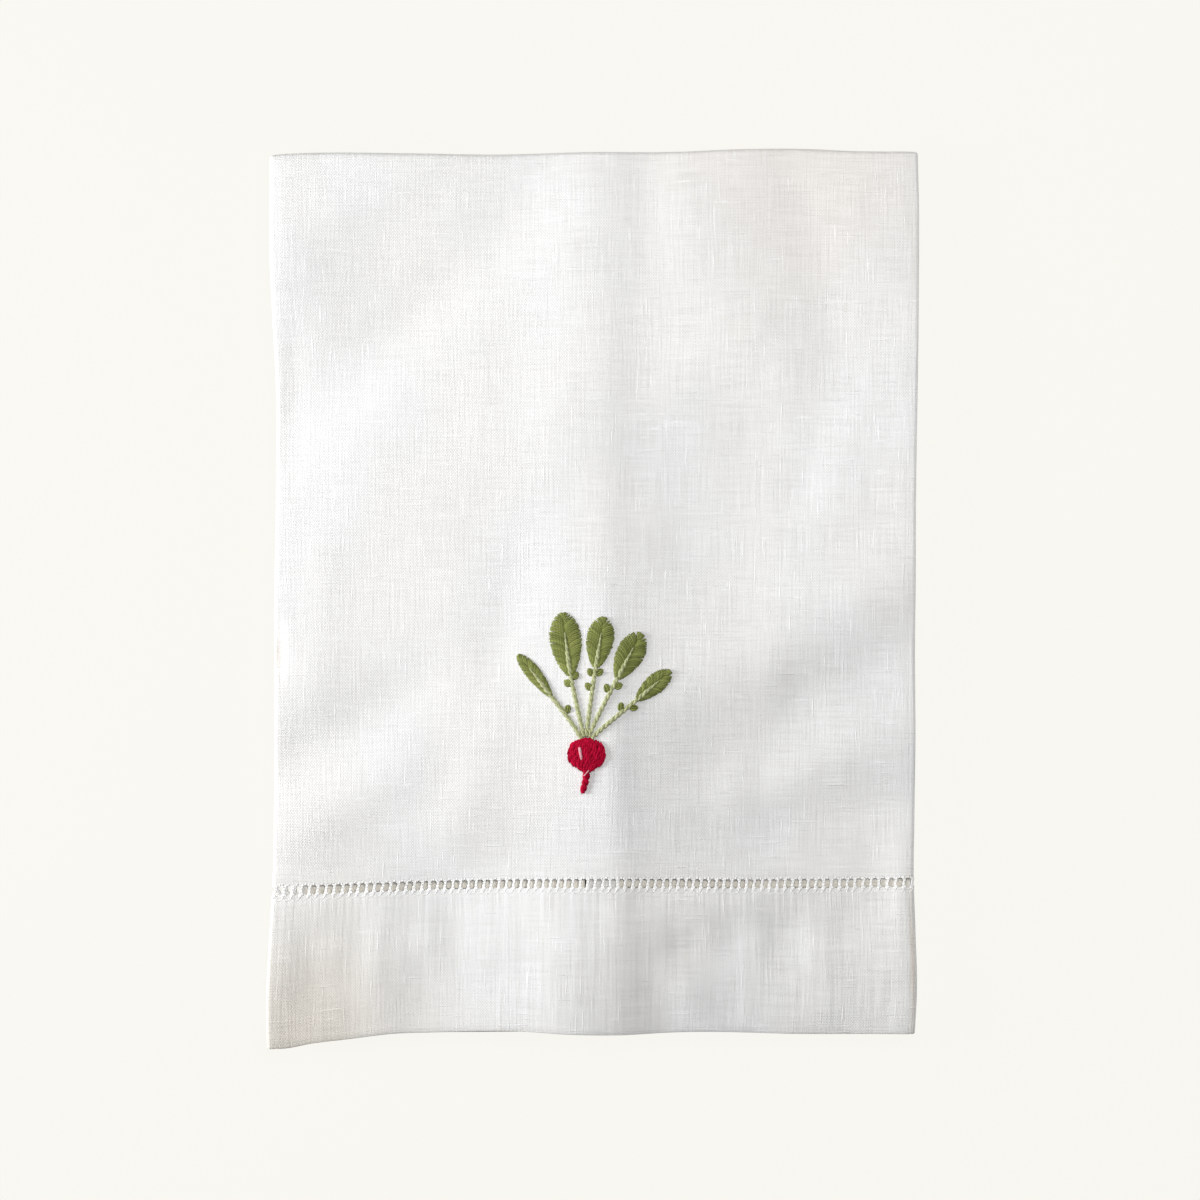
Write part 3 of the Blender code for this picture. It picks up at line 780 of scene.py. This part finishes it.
def add_linen(finish):
    """The whole towel as one sheet with its holes, folded, and given its thickness."""
    bundles = Bundles(seed=5)
    every, whole = columns(bundles)
    first = bundles.centre[0] - bundles.end[0]
    last = bundles.centre[-1] + bundles.end[-1]
    sheet = Sheet()
    before, before_v, before_edge = None, 0.0, False
    for v, edge in rows():
        current = sheet.add_row(every if edge else whole, v)
        if edge and before_edge:
            for index in range(len(bundles.centre)):
                sheet.add_bundle(before, current, before_v, v, bundles, index)
            sheet.join_stretch(before, current, 0.0, first)
            sheet.join_stretch(before, current, last, SHEET_WIDTH)
        elif before is not None:
            sheet.join_rows(before, current)
        before, before_v, before_edge = current, v, edge
    flat = np.array(sheet.places)
    mesh = bpy.data.meshes.new("folded_linen")
    mesh.from_pydata(place(flat[:, 0], flat[:, 1]).tolist(), [], sheet.faces)
    add_map(mesh, "weave", flat)
    above_row = np.minimum(flat[:, 1], SHEET_LENGTH - flat[:, 1]) - HEM_WIDTH - HEM_TURN
    phase = np.interp(flat[:, 0], bundles.centre, np.arange(len(bundles.centre)))
    add_map(mesh, "row", np.column_stack((phase, above_row / MM)))
    linen = link(bpy.data.objects.new("folded_linen", mesh))
    thicken = linen.modifiers.new("thickness", "SOLIDIFY")
    thicken.thickness = THICKNESS
    thicken.offset = 0.0
    thicken.use_even_offset = False
    apply_modifiers(linen)
    linen.data.shade_smooth()
    linen.data.set_sharp_from_angle(angle=math.radians(SHARP_FROM_DEG))
    linen.data.materials.append(finish)
    return linen, bundles


def link(made):
    bpy.context.scene.collection.objects.link(made)
    return made


def add_map(mesh, name, values):
    """A UV map with the given pair of values at each vertex."""
    layer = mesh.uv_layers.new(name=name)
    corner_vertex = np.zeros(len(mesh.loops), int)
    mesh.loops.foreach_get("vertex_index", corner_vertex)
    layer.data.foreach_set("uv", values[corner_vertex].astype(np.float32).ravel())


def apply_modifiers(piece):
    evaluated = piece.evaluated_get(bpy.context.evaluated_depsgraph_get())
    made = bpy.data.meshes.new_from_object(evaluated)
    piece.modifiers.clear()
    piece.data = made


def line_frame(line):
    """For a line of points: how far along it each lies, and the directions to its side and upward."""
    travelled = np.concatenate(([0], np.cumsum(np.linalg.norm(np.diff(line, axis=0), axis=1))))
    ahead = np.gradient(line, axis=0)
    ahead /= np.linalg.norm(ahead, axis=1, keepdims=True)
    side = np.cross(ahead, (0.0, 0.0, 1.0))
    side /= np.maximum(np.linalg.norm(side, axis=1, keepdims=True), 1e-9)
    return travelled, side, np.cross(side, ahead)


class Threads:
    """Gathers stitches and strands, each a closed tube along a line of points, into one mesh."""

    def __init__(self, seed):
        self.points = []
        self.faces = []
        self.lengthwise = []
        self.tones = []
        self.rng = np.random.default_rng(seed)

    def add(self, line, half_width, half_height, tone=None):
        """line is rows of x, y, z. The half sizes are numbers, or arrays with one for each point."""
        count = len(line)
        travelled, side, up = line_frame(line)
        angles = np.linspace(0, 2 * math.pi, STITCH_SIDES, endpoint=False)
        half_width, half_height = (
            np.broadcast_to(size, count)[:, None, None] for size in (half_width, half_height)
        )
        ring = side[:, None] * np.cos(angles)[None, :, None] * half_width
        ring = ring + up[:, None] * np.sin(angles)[None, :, None] * half_height
        first = len(self.points)
        self.points.extend((line[:, None] + ring).reshape(-1, 3).tolist())
        around = angles / (2 * math.pi)
        self.lengthwise.extend((share, far) for far in travelled / MM for share in around)
        tone = self.rng.uniform(0, 1) if tone is None else tone
        self.tones.extend([tone] * (count * STITCH_SIDES))
        for start in range(first, first + (count - 1) * STITCH_SIDES, STITCH_SIDES):
            for corner in range(STITCH_SIDES):
                a = start + corner
                b = start + (corner + 1) % STITCH_SIDES
                self.faces.append((a, b, b + STITCH_SIDES, a + STITCH_SIDES))
        last = first + (count - 1) * STITCH_SIDES
        self.faces.append(tuple(reversed(range(first, first + STITCH_SIDES))))
        self.faces.append(tuple(range(last, last + STITCH_SIDES)))

    def make(self, name, finish):
        mesh = bpy.data.meshes.new(name)
        mesh.from_pydata(self.points, [], self.faces)
        add_map(mesh, "thread", np.array(self.lengthwise))
        tone = mesh.attributes.new("tone", "FLOAT", "POINT")
        tone.data.foreach_set("value", np.array(self.tones, np.float32))
        mesh.shade_smooth()
        mesh.materials.append(finish)
        return link(bpy.data.objects.new(name, mesh))


def add_hemstitching(bundles, finish):
    """The drawn threads of the front's row in their bundles, and the stitches below and above them."""
    threads = Threads(seed=11)
    rng = np.random.default_rng(17)
    row = HEM_WIDTH + HEM_TURN
    centre = bundles.centre
    reach = 0.9 * TURN_LENGTH
    shown = [i for i in range(1, len(centre)) if PANEL_START - reach < centre[i] < PANEL_END + reach]
    for index in shown:
        pitch = centre[index] - centre[index - 1]
        add_bundle_strands(threads, bundles, index, row, rng)
        add_foot_stitches(threads, centre[index], pitch, row, rng)
        add_head_stitch(threads, centre[index] - pitch / 2, row, rng)
    return threads.make("hemstitching", finish)


def add_bundle_strands(threads, bundles, index, row, rng):
    """Three strands, spread at both ends and drawn together between. Some run on into the cloth."""
    for strand in STRANDS:
        end = STRAND_END + STRAND_OVERRUN * rng.uniform() ** 4
        stations = np.linspace(STRAND_START, end, STRAND_POINTS)
        inside = np.clip(stations, -1, 1)
        spread = strand * bundles.half_width(index, inside) + bundles.shift(index, inside)
        u = bundles.centre[index] + spread - STRAND_DRIFT * np.clip(stations - 1, 0, None)
        v = row + stations * HOLE_HALF_HEIGHT
        sink = smooth((stations - end + 0.25) / 0.25) + smooth((-stations - 1.0) / 0.2)
        height = THICKNESS / 2 + STRAND_LIFT - STRAND_SINK * sink
        threads.add(on_cloth(u, v, height), *STRAND_HALF_SIZES, tone=rng.uniform(0.7, 1.0))


def add_foot_stitches(threads, u, pitch, row, rng):
    """The stitch round the foot of a bundle, one that slants down from it, and the loop on to the next."""
    jitter = rng.normal(0, STITCH_JITTER, (len(FOOT_STITCHES) + 1, 2))
    foot = row + FOOT_STATION * HOLE_HALF_HEIGHT
    surface = THICKNESS / 2 - FOOT_SINK
    share = np.linspace(0, 1, STITCH_RINGS)
    for (off_u, off_v), stitch in zip(jitter, FOOT_STITCHES):
        from_u, to_u, from_v, to_v, lift, half_width, half_height, tone = stitch
        line_u = u + mix(from_u, to_u, share) * pitch + off_u
        line_v = foot + mix(from_v, to_v, share) * MM + off_v
        line = on_cloth(line_u, line_v, surface + lift * MM * np.sin(math.pi * share))
        threads.add(line, half_width * MM, half_height * MM, tone)
    sweep = np.linspace(0, math.pi, LOOP_POINTS)
    line_u = u + pitch * (LOOP_CENTRE + LOOP_HALF_WIDTH * np.cos(sweep)) + jitter[-1][0]
    line_v = foot + LOOP_START - LOOP_DEPTH * np.sin(sweep) + jitter[-1][1]
    # The loop's low tone greys it a little: painted shade, for the faint shadow line under the row
    threads.add(on_cloth(line_u, line_v, surface + LOOP_LIFT * np.sin(sweep)), *LOOP_HALF_SIZES, tone=0.4)


def add_head_stitch(threads, u, row, rng):
    """The short stitch at the head of a hole."""
    share = np.linspace(0, 1, STITCH_RINGS)
    line_u = u + mix(*HEAD_ACROSS, share) + rng.normal(0, STITCH_JITTER)
    line_v = row + HOLE_HALF_HEIGHT + mix(*HEAD_ALONG, share)
    height = THICKNESS / 2 - HEAD_SINK + HEAD_LIFT * np.sin(math.pi * share)
    threads.add(on_cloth(line_u, line_v, height), *HEAD_HALF_SIZES, tone=0.9)


def on_front(x, y, height):
    """Places above the cloth's front by the given height."""
    surface = 2 * OUTER_LEVEL + relief(x, y) + hem_form(x, y)
    return np.stack((x, y, surface + height), axis=-1)


def leaf_line(leaf, share):
    """The middle line of a leaf on its stem: x, y and the direction that it heads in, in radians from +Y."""
    turned = leaf.start * MM / BULB_HALF_WIDTH
    pinch = 1 - CROWN_PINCH * (1 - smooth(share / CROWN_RUN))
    start_x = BULB_CENTRE[0] + leaf.start * MM * pinch
    start_y = BULB_CENTRE[1] + BULB_LENGTH / 2 * math.sqrt(1 - turned * turned) + 2 * PAD_CLEARANCE
    mean_lean = np.radians(leaf.lean + leaf.bend * (share - 1) / 2)
    x = start_x + leaf.length * MM * share * np.sin(mean_lean)
    y = start_y + leaf.length * MM * share * np.cos(mean_lean)
    return x, y, np.radians(leaf.lean + leaf.bend * (share - 0.5))


def blade_half_width(leaf, share):
    """Half the width of a leaf's blade at shares of the leaf's whole length."""
    in_blade = np.clip(1 - (1 - share) * leaf.length / leaf.blade_length, 0, 1)
    return leaf.blade_half_width * MM * np.sin(math.pi * in_blade**BLADE_WIDEST) ** BLADE_ROUNDNESS


def stitch_arch(height, sink=ARCH_SINK):
    """Heights along a stitch that comes up through the cloth, lies over it and goes down again."""
    share = np.linspace(0, 1, STITCH_RINGS)
    return height * np.sin(math.pi * share) ** ARCH_POWER - sink


def aside(x, y, heading, distance):
    """The place to the right of a line that heads that way, by the given distance."""
    return x + distance * math.cos(heading), y - distance * math.sin(heading)


def add_blade(threads, leaf, rng):
    """Slanting satin stitches from the midrib of a leaf to both of its edges."""
    length = leaf.length * MM
    blade_start = 1 - leaf.blade_length / leaf.length
    count = int(leaf.blade_length * MM / BLADE_STITCH_STEP)
    share = np.linspace(0, 1, STITCH_RINGS)
    for side in (-1, 1):
        for index in range(-BLADE_STITCHES_BEFORE, count + 1):
            root = blade_start + index / count * (1 - blade_start) * BLADE_STITCHED_SHARE
            tip = min(root + BLADE_STITCH_SLANT * rng.uniform(0.95, 1.05) / length, BLADE_LAST_TIP)
            x0, y0, heading = leaf_line(leaf, max(root, blade_start + 0.01))
            x1, y1, heading_out = leaf_line(leaf, tip)
            out = blade_half_width(leaf, tip) * rng.uniform(0.97, 1.03) + BLADE_OVERHANG
            x0, y0 = aside(x0, y0, heading, -side * MIDRIB_OVERLAP)
            x1, y1 = aside(x1, y1, heading_out, side * out)
            bow = BLADE_STITCH_BOW * math.hypot(x1 - x0, y1 - y0) * np.sin(math.pi * share)
            x = mix(x0, x1, share) + bow * math.sin(heading)
            y = mix(y0, y1, share) + bow * math.cos(heading)
            height = stitch_arch(BLADE_ARCH) + rng.uniform(0, BLADE_HEIGHT_SPREAD)
            fullness = np.sin(math.pi * np.clip(share, 0.04, 0.96)) ** 0.5
            width = BLADE_STITCH_HALF_WIDTH * mix(BLADE_STITCH_END_SHARE, 1.0, fullness)
            width = width * rng.uniform(0.92, 1.08)
            threads.add(on_front(x, y, height), width, width * BLADE_STITCH_FLATNESS)


def add_leaflet(threads, leaf, share, side, stitches, rng):
    """A few short stitches side by side next to a stem, which together make a small rounded leaf."""
    x0, y0, heading = leaf_line(leaf, share)
    turn = heading + side * math.radians(LEAFLET_TURN_DEG)
    share_along = np.linspace(-0.5, 0.5, STITCH_RINGS)
    for index in range(stitches):
        off_middle = (2 * index + 1 - stitches) / stitches
        length = LEAFLET_LENGTH * (1 - LEAFLET_SHORTENING * off_middle**2) * rng.uniform(0.95, 1.05)
        ahead = LEAFLET_LENGTH / 2 + LEAFLET_OFFSET + share_along * length
        across = off_middle * LEAFLET_HALF_WIDTH * (1 - LEAFLET_ROUNDING * share_along**2)
        x, y = aside(x0 + ahead * math.sin(turn), y0 + ahead * math.cos(turn), turn, across)
        threads.add(on_front(x, y, stitch_arch(LEAFLET_ARCH)), *LEAFLET_HALF_SIZES)


def add_leaf(number, leaf, finish, rng):
    threads = Threads(seed=20 + number)
    add_blade(threads, leaf, rng)
    for on_leaf, share, side, stitches in LEAFLETS:
        if on_leaf == number:
            add_leaflet(threads, leaf, share, side, stitches, rng)
    return threads.make(f"{leaf.name}_stitches", finish)


def add_rope(threads, x, y, base, radius, strands=2):
    """Strands laid round each other along a line on the cloth. base is the height of the line's middle."""
    line = on_front(x, y, base)
    travelled, side, up = line_frame(line)
    for strand in range(strands):
        angle = 2 * math.pi * (travelled / ROPE_TWIST + strand / strands)[:, None]
        wound = side * np.cos(angle) * ROPE_WIDTH_SHARE + up * np.sin(angle) * ROPE_HEIGHT_SHARE
        threads.add(line + wound * radius[:, None], radius * 0.98, radius * 0.9, (strand + 0.5) / strands)


def add_stem(number, leaf, finish):
    """A twisted stem that runs on as the midrib of its blade, and tapers out there."""
    threads = Threads(seed=40 + number)
    blade_start = 1 - leaf.blade_length / leaf.length
    end = mix(blade_start, 1.0, STEM_INTO_BLADE)
    share = np.linspace(0.0, end, STEM_POINTS)
    x, y, _ = leaf_line(leaf, share)
    base = STEM_HEIGHT + BLADE_HEIGHT * smooth((share - blade_start) / (1 - blade_start) * 5)
    taper = 1 - STEM_TAPER * smooth((share / end - STEM_TAPER_START) / (1 - STEM_TAPER_START))
    dive = STEM_DIVE * smooth((share / end - STEM_DIVE_START) / (1 - STEM_DIVE_START))
    add_rope(threads, x, y, base - dive, STEM_RADIUS * taper)
    return threads.make(f"stem_{number}", finish)


def bulb_half_width(share):
    """Half the width of the bulb, from its foot at 0, where it draws in, to its flat crown at 1."""
    above = np.clip(share - 0.5, 0, None) / BULB_CROWN_REACH
    below = np.clip(0.5 - share, 0, None) / 0.5
    drawn_in = BULB_FOOT_SHARE * below**BULB_FOOT_POWER
    return BULB_HALF_WIDTH * np.sqrt(1 - above**BULB_CROWN_POWER) * (1 - drawn_in)


def add_bulb(finish):
    """Rows of short split stitches that follow the bulb's round form, and a twisted root below."""
    threads = Threads(seed=60)
    rng = np.random.default_rng(61)
    low = BULB_CENTRE[1] - BULB_LENGTH / 2
    half_count = int(BULB_HALF_WIDTH / BULB_STITCH_STEP)
    for line in range(-half_count, half_count + 1):
        lean = line / (half_count + BULB_SIDE_MARGIN)
        start = BULB_ROUND_OFF[0] + BULB_ROUND_OFF[1] * abs(lean) ** 3
        travelled = start * BULB_LENGTH - (line % 2) * BULB_STITCH_LENGTH / 2
        while travelled < (1 - 0.7 * start) * BULB_LENGTH:
            size = BULB_STITCH_LENGTH * rng.uniform(*BULB_STITCH_SPREAD)
            along = np.linspace(travelled, travelled + size, STITCH_RINGS) / BULB_LENGTH
            along = np.clip(along, start * 0.9, 1 - start * 0.6)
            if along[-1] - along[0] > BULB_LEAST_STITCH:
                add_bulb_stitch(threads, lean, low, along, rng)
            travelled += size * BULB_STITCH_OVERLAP
    share = np.linspace(0, 1, ROOT_POINTS)
    x = BULB_CENTRE[0] + ROOT_LEAN * share**2
    y = low + ROOT_START - (ROOT_LENGTH + ROOT_OVERRUN) * share
    base = ROOT_HEIGHT - ROOT_DROP * share
    add_rope(threads, x, y, base, ROOT_RADIUS * mix(1.0, ROOT_TAPER, share))
    return threads.make("radish_stitches", finish)


def add_bulb_stitch(threads, lean, low, along, rng):
    """One stitch up the bulb: lean is its place across, -1 to 1, and along its places up, 0 to 1."""
    tilt = rng.normal(BULB_STITCH_TILT, BULB_STITCH_TILT) * MM * np.linspace(-1, 1, STITCH_RINGS)
    x = BULB_CENTRE[0] + lean * bulb_half_width(along) + tilt
    dome = np.sqrt(1 - lean * lean * 0.9) * np.sin(math.pi * np.clip(along, 0.05, 0.95)) ** 0.5
    height = BULB_DOME * dome + stitch_arch(BULB_ARCH, BULB_ARCH_SINK)
    width = BULB_STITCH_HALF_WIDTH * rng.uniform(0.9, 1.1)
    threads.add(on_front(x, low + along * BULB_LENGTH, height), width, width * BULB_STITCH_FLATNESS)


def add_highlight(finish):
    """One pale stitch on the bulb, and a short one at the top of its root."""
    threads = Threads(seed=70)
    share = np.linspace(0, 1, STITCH_RINGS)
    for from_x, from_y, to_x, to_y, base, arch, start_width, end_width, half_height in HIGHLIGHTS:
        x = BULB_CENTRE[0] + mix(from_x, to_x, share) * MM
        y = BULB_CENTRE[1] + mix(from_y, to_y, share) * MM
        line = on_front(x, y, base * MM + stitch_arch(arch * MM))
        threads.add(line, mix(start_width, end_width, share) * MM, half_height * MM)
    return threads.make("highlight_stitches", finish)


class Value:
    """A value in a material. Arithmetic on it adds the nodes that work it out."""

    def __init__(self, nodes, socket):
        self.nodes = nodes
        self.socket = socket

    def __add__(self, other):
        return self.nodes.math("ADD", self, other)

    def __sub__(self, other):
        return self.nodes.math("SUBTRACT", self, other)

    def __mul__(self, other):
        return self.nodes.math("MULTIPLY", self, other)

    def __truediv__(self, other):
        return self.nodes.math("DIVIDE", self, other)


class Nodes:
    """Short calls for the nodes of one material."""

    def __init__(self, name, roughness, sheen=0.0, specular=0.25):
        self.material = bpy.data.materials.new(name)
        self.material.use_nodes = True
        self.tree = self.material.node_tree
        self.shader = self.tree.nodes["Principled BSDF"]
        self.shader.inputs["Roughness"].default_value = roughness
        self.shader.inputs["Sheen Weight"].default_value = sheen
        self.shader.inputs["Specular IOR Level"].default_value = specular

    def add(self, kind, values=(), output=0, **settings):
        """Adds a node and gives one of its outputs. Values are in the order of its sockets, or by socket."""
        node = self.tree.nodes.new(kind)
        for name, value in settings.items():
            setattr(node, name, value)
        pairs = values.items() if isinstance(values, dict) else enumerate(values)
        for socket, value in pairs:
            if isinstance(value, Value):
                self.tree.links.new(value.socket, node.inputs[socket])
            else:
                node.inputs[socket].default_value = (*value, 1.0) if isinstance(value, tuple) else value
        return Value(self, node.outputs[output])

    def math(self, operation, *values):
        return self.add("ShaderNodeMath", values, operation=operation)

    def total(self, values):
        first, *others = values
        for value in others:
            first = first + value
        return first

    def step(self, value, low, high, to_low=0.0, to_high=1.0):
        """A smooth step of value from low to high, given out as to_low to to_high."""
        values = {"Value": value, "From Min": low, "From Max": high, "To Min": to_low, "To Max": to_high}
        return self.add("ShaderNodeMapRange", values, interpolation_type="SMOOTHSTEP")

    def noise(self, x, y, z=0.0, detail=1.0):
        vector = self.add("ShaderNodeCombineXYZ", (x, y, z))
        values = {"Vector": vector, "Scale": 1.0, "Detail": detail}
        return self.add("ShaderNodeTexNoise", values, noise_dimensions="3D")

    def streaks(self, across, along, width, run, start):
        """Unevenness from thread to thread, which runs along the threads."""
        return self.noise(across / width, along / run, start, detail=2.0)

    def patch(self, u, v, centre, reach):
        """1 at a place on the sheet, fading out softly to 0 around it."""
        off_u = (u - centre[0]) / reach[0]
        off_v = (v - centre[1]) / reach[1]
        return self.math("EXPONENT", (off_u * off_u + off_v * off_v) * -1.0)

    def map(self, name):
        """The two values of a UV map."""
        found = self.add("ShaderNodeUVMap", uv_map=name)
        return [self.add("ShaderNodeSeparateXYZ", (found,), output) for output in (0, 1)]

    def blend(self, factor, first, second, kind="MIX"):
        values = {0: factor, 6: first, 7: second}
        return self.add("ShaderNodeMix", values, output=2, data_type="RGBA", blend_type=kind)

    def tint(self, factor, colour, by):
        return self.blend(factor, colour, by, "MULTIPLY")

    def finish(self, colour, relief):
        """Links the colour and the fine relief, which is in millimetres."""
        bump = self.add("ShaderNodeBump", {"Height": relief, "Strength": 1.0, "Distance": MM})
        self.tree.links.new(bump.socket, self.shader.inputs["Normal"])
        self.tree.links.new(colour.socket, self.shader.inputs["Base Color"])
        return self.material


def weave_forms(nodes, u, v):
    """Plain weave: the height of the thread on top, from 0 to 1, and 1 where that one runs lengthwise."""
    sway = (nodes.noise(u * SWAY_SCALE, v * SWAY_SCALE) - 0.5) * SWAY
    warp = nodes.math("SINE", (u + sway) * (math.pi / WARP_PITCH))
    weft = nodes.math("SINE", (v + sway) * (math.pi / WEFT_PITCH))
    over = nodes.step(warp * weft, -CROSSING_SOFTNESS, CROSSING_SOFTNESS)
    warp_form = nodes.math("ABSOLUTE", warp)
    weft_form = nodes.math("ABSOLUTE", weft)
    warp_height = nodes.math("SQRT", warp_form) * (weft_form * (1 - UNDER_SHARE) + UNDER_SHARE)
    weft_height = nodes.math("SQRT", weft_form) * (warp_form * (1 - UNDER_SHARE) + UNDER_SHARE)
    return nodes.add("ShaderNodeMix", {0: over, 2: weft_height, 3: warp_height}, data_type="FLOAT"), over


def thread_forms(nodes, u, v):
    """Unevenness of the threads both ways, and their slubs, both rougher towards the right."""
    rougher = nodes.step(u, *ROUGHER_STEP)
    warp_streaks = nodes.streaks(u, v, STREAK_WIDTH, WARP_STREAK_RUN, 3.0)
    weft_streaks = nodes.streaks(v, u, STREAK_WIDTH, WEFT_STREAK_RUN, 9.0)
    warp_slubs = nodes.step(nodes.streaks(u, v, *SLUB_SIZE, 17.0), *SLUB_STEP)
    weft_slubs = nodes.step(nodes.streaks(v, u, *SLUB_SIZE, 23.0), *SLUB_STEP)
    slubs = nodes.math("MAXIMUM", warp_slubs, weft_slubs)
    return (warp_streaks + weft_streaks - 1.0) * rougher, slubs * rougher


def row_forms(nodes, u, v, phase, from_row):
    """Bands in the hem, ribs that run down into it from the bundles, and short fans above the row."""
    below_row = nodes.step(from_row, *BELOW_ROW_STEP)
    above_row = nodes.step(from_row, *ABOVE_ROW_STEP)
    rib = nodes.math("COSINE", phase * (2 * math.pi))
    fading_down = nodes.math("EXPONENT", nodes.math("MINIMUM", from_row, 0.0) / RIB_FADE)
    fading_up = nodes.math("EXPONENT", nodes.math("MAXIMUM", from_row, 0.0) / -FAN_FADE)
    bands = (nodes.streaks(u, v, *BAND_SIZE, 31.0) - 0.5) * below_row
    return bands, rib * fading_down * below_row, rib * fading_up * above_row


def side_shade(nodes, u, from_row):
    """How much the turned-in sides are shaded, 0 to 1: only near the row, where they show through it."""
    past_folds = nodes.step(u, *SHADE_LEFT_STEP) + nodes.step(u, *SHADE_RIGHT_STEP)
    near_row = nodes.step(nodes.math("ABSOLUTE", from_row), *SHADE_ROW_STEP)
    return past_folds * near_row * nodes.step(u, *SIDE_HEM_STEP) * nodes.step(from_row, *SHADE_HIGH_STEP)


def linen_material():
    """Plain weave of uneven flax threads, with slubs both ways, and ribs by the hemstitched row."""
    nodes = Nodes("linen", roughness=0.88, sheen=0.12)
    u, v = nodes.map("weave")
    phase, from_row = nodes.map("row")
    forms = (*weave_forms(nodes, u, v), *thread_forms(nodes, u, v), *row_forms(nodes, u, v, phase, from_row))
    # Part of this tone is painted shade in the hollows of weave, ribs and fans, and painted sheen from over
    tone = nodes.total(form * row[1] for form, row in zip(forms, LINEN_FORMS))
    fine_relief = nodes.total(form * row[2] for form, row in zip(forms, LINEN_FORMS))
    cloudy = nodes.noise(u * CLOUD_SCALE[0], v * CLOUD_SCALE[1], 5.0)
    light = nodes.blend(nodes.step(cloudy, *CLOUD_STEP), LINEN_WARM, LINEN_COOL)
    colour = nodes.blend(nodes.step(tone, *TONE_STEP), LINEN_DARK, light)
    # Soft patches of painted shade and painted reflection, multiplied into the linen's colour
    for centre, reach, tint in PAINTED_SHADE_AND_REFLECTION:
        colour = nodes.tint(nodes.patch(u, v, centre, reach), colour, tint)
    colour = nodes.tint(side_shade(nodes, u, from_row), colour, SHADE_TINT)
    return nodes.finish(colour, fine_relief)


def thread_material(name, dark, light, roughness, twist_length, sheen, specular):
    """Stranded thread: dark to light from stitch to stitch, with the twist of its strands as fine ridges."""
    nodes = Nodes(name, roughness, sheen, specular)
    around, along = nodes.map("thread")
    turns = around * THREAD_STRANDS + along / twist_length
    ridge = nodes.math("ABSOLUTE", nodes.math("SINE", turns * math.pi))
    tone = nodes.add("ShaderNodeAttribute", output="Fac", attribute_name="tone", attribute_type="GEOMETRY")
    fibre = nodes.noise(around * FIBRE_SCALE[0], along * FIBRE_SCALE[1])
    # The colour is lighter on the crests of the strands' ridges: painted shade in the grooves between them
    colour = nodes.blend(tone * 0.5 + ridge * 0.25 + fibre * 0.25, dark, light)
    return nodes.finish(colour, ridge * RIDGE_RELIEF + fibre * FIBRE_RELIEF)


def add_floor():
    """A plain pale surface under the towel, lit so evenly that hardly a shadow shows on it."""
    bpy.ops.mesh.primitive_plane_add(size=FLOOR_SIZE, location=(0.0, 0.0, 0.0))
    floor = bpy.context.object
    floor.name = "floor"
    nodes = Nodes("floor", roughness=1.0, specular=0.0)
    lit_colour = [FLOOR_LIT_SHARE * part for part in FLOOR_COLOUR]
    nodes.shader.inputs["Base Color"].default_value = (*lit_colour, 1.0)
    nodes.shader.inputs["Emission Color"].default_value = (*FLOOR_COLOUR, 1.0)
    nodes.shader.inputs["Emission Strength"].default_value = FLOOR_GLOW
    floor.data.materials.append(nodes.material)


def add_lights():
    """A low light from the left, a softer one from above, near enough to fall off across it, and a fill."""
    for name, azimuth, elevation, distance, size, power in LIGHTS:
        light = bpy.data.lights.new(name, "AREA")
        light.shape = "DISK"
        light.size = size
        light.energy = power
        placed = link(bpy.data.objects.new(name, light))
        placed.visible_camera = False
        azimuth, elevation = math.radians(azimuth), math.radians(elevation)
        out = distance * math.cos(elevation)
        placed.location = (out * math.cos(azimuth), out * math.sin(azimuth), distance * math.sin(elevation))
        placed.rotation_euler = (math.pi / 2 - elevation, 0.0, azimuth + math.pi / 2)
    world = bpy.data.worlds.new("studio")
    world.use_nodes = True
    world.node_tree.nodes["Background"].inputs["Strength"].default_value = FILL_STRENGTH
    world.node_tree.nodes["Background"].inputs["Color"].default_value = (1.0, 1.0, 1.0, 1.0)
    bpy.context.scene.world = world
    bpy.context.scene.view_settings.view_transform = "Standard"


def add_camera():
    """Straight above the towel, with its top edge up."""
    camera = bpy.data.cameras.new("camera")
    camera.lens = LENS
    camera.sensor_width = SENSOR
    camera.clip_start = 0.01
    placed = link(bpy.data.objects.new("camera", camera))
    placed.location = (*VIEW_CENTRE, VIEW_HEIGHT + VIEW_WIDTH * LENS / SENSOR)
    bpy.context.scene.camera = placed


def main():
    white, green, stem_green, red, pink = (thread_material(name, *look) for name, look in THREADS.items())
    cloth, bundles = add_linen(linen_material())
    hemstitching = add_hemstitching(bundles, white)
    rng = np.random.default_rng(80)
    leaves = [add_leaf(number, leaf, green, rng) for number, leaf in enumerate(LEAVES, 1)]
    stems = [add_stem(number, leaf, stem_green) for number, leaf in enumerate(LEAVES, 1)]
    bulb = add_bulb(red)
    highlight = add_highlight(pink)

    stitching = [hemstitching, bulb, highlight, *leaves, *stems]
    for piece in (cloth, *stitching):
        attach(piece, "root")
    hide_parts("towel")
    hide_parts("radish_bulb")
    for row, leaf in zip(LEAVES, leaves):
        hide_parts(row[0])

    add_floor()
    add_lights()
    add_camera()


main()
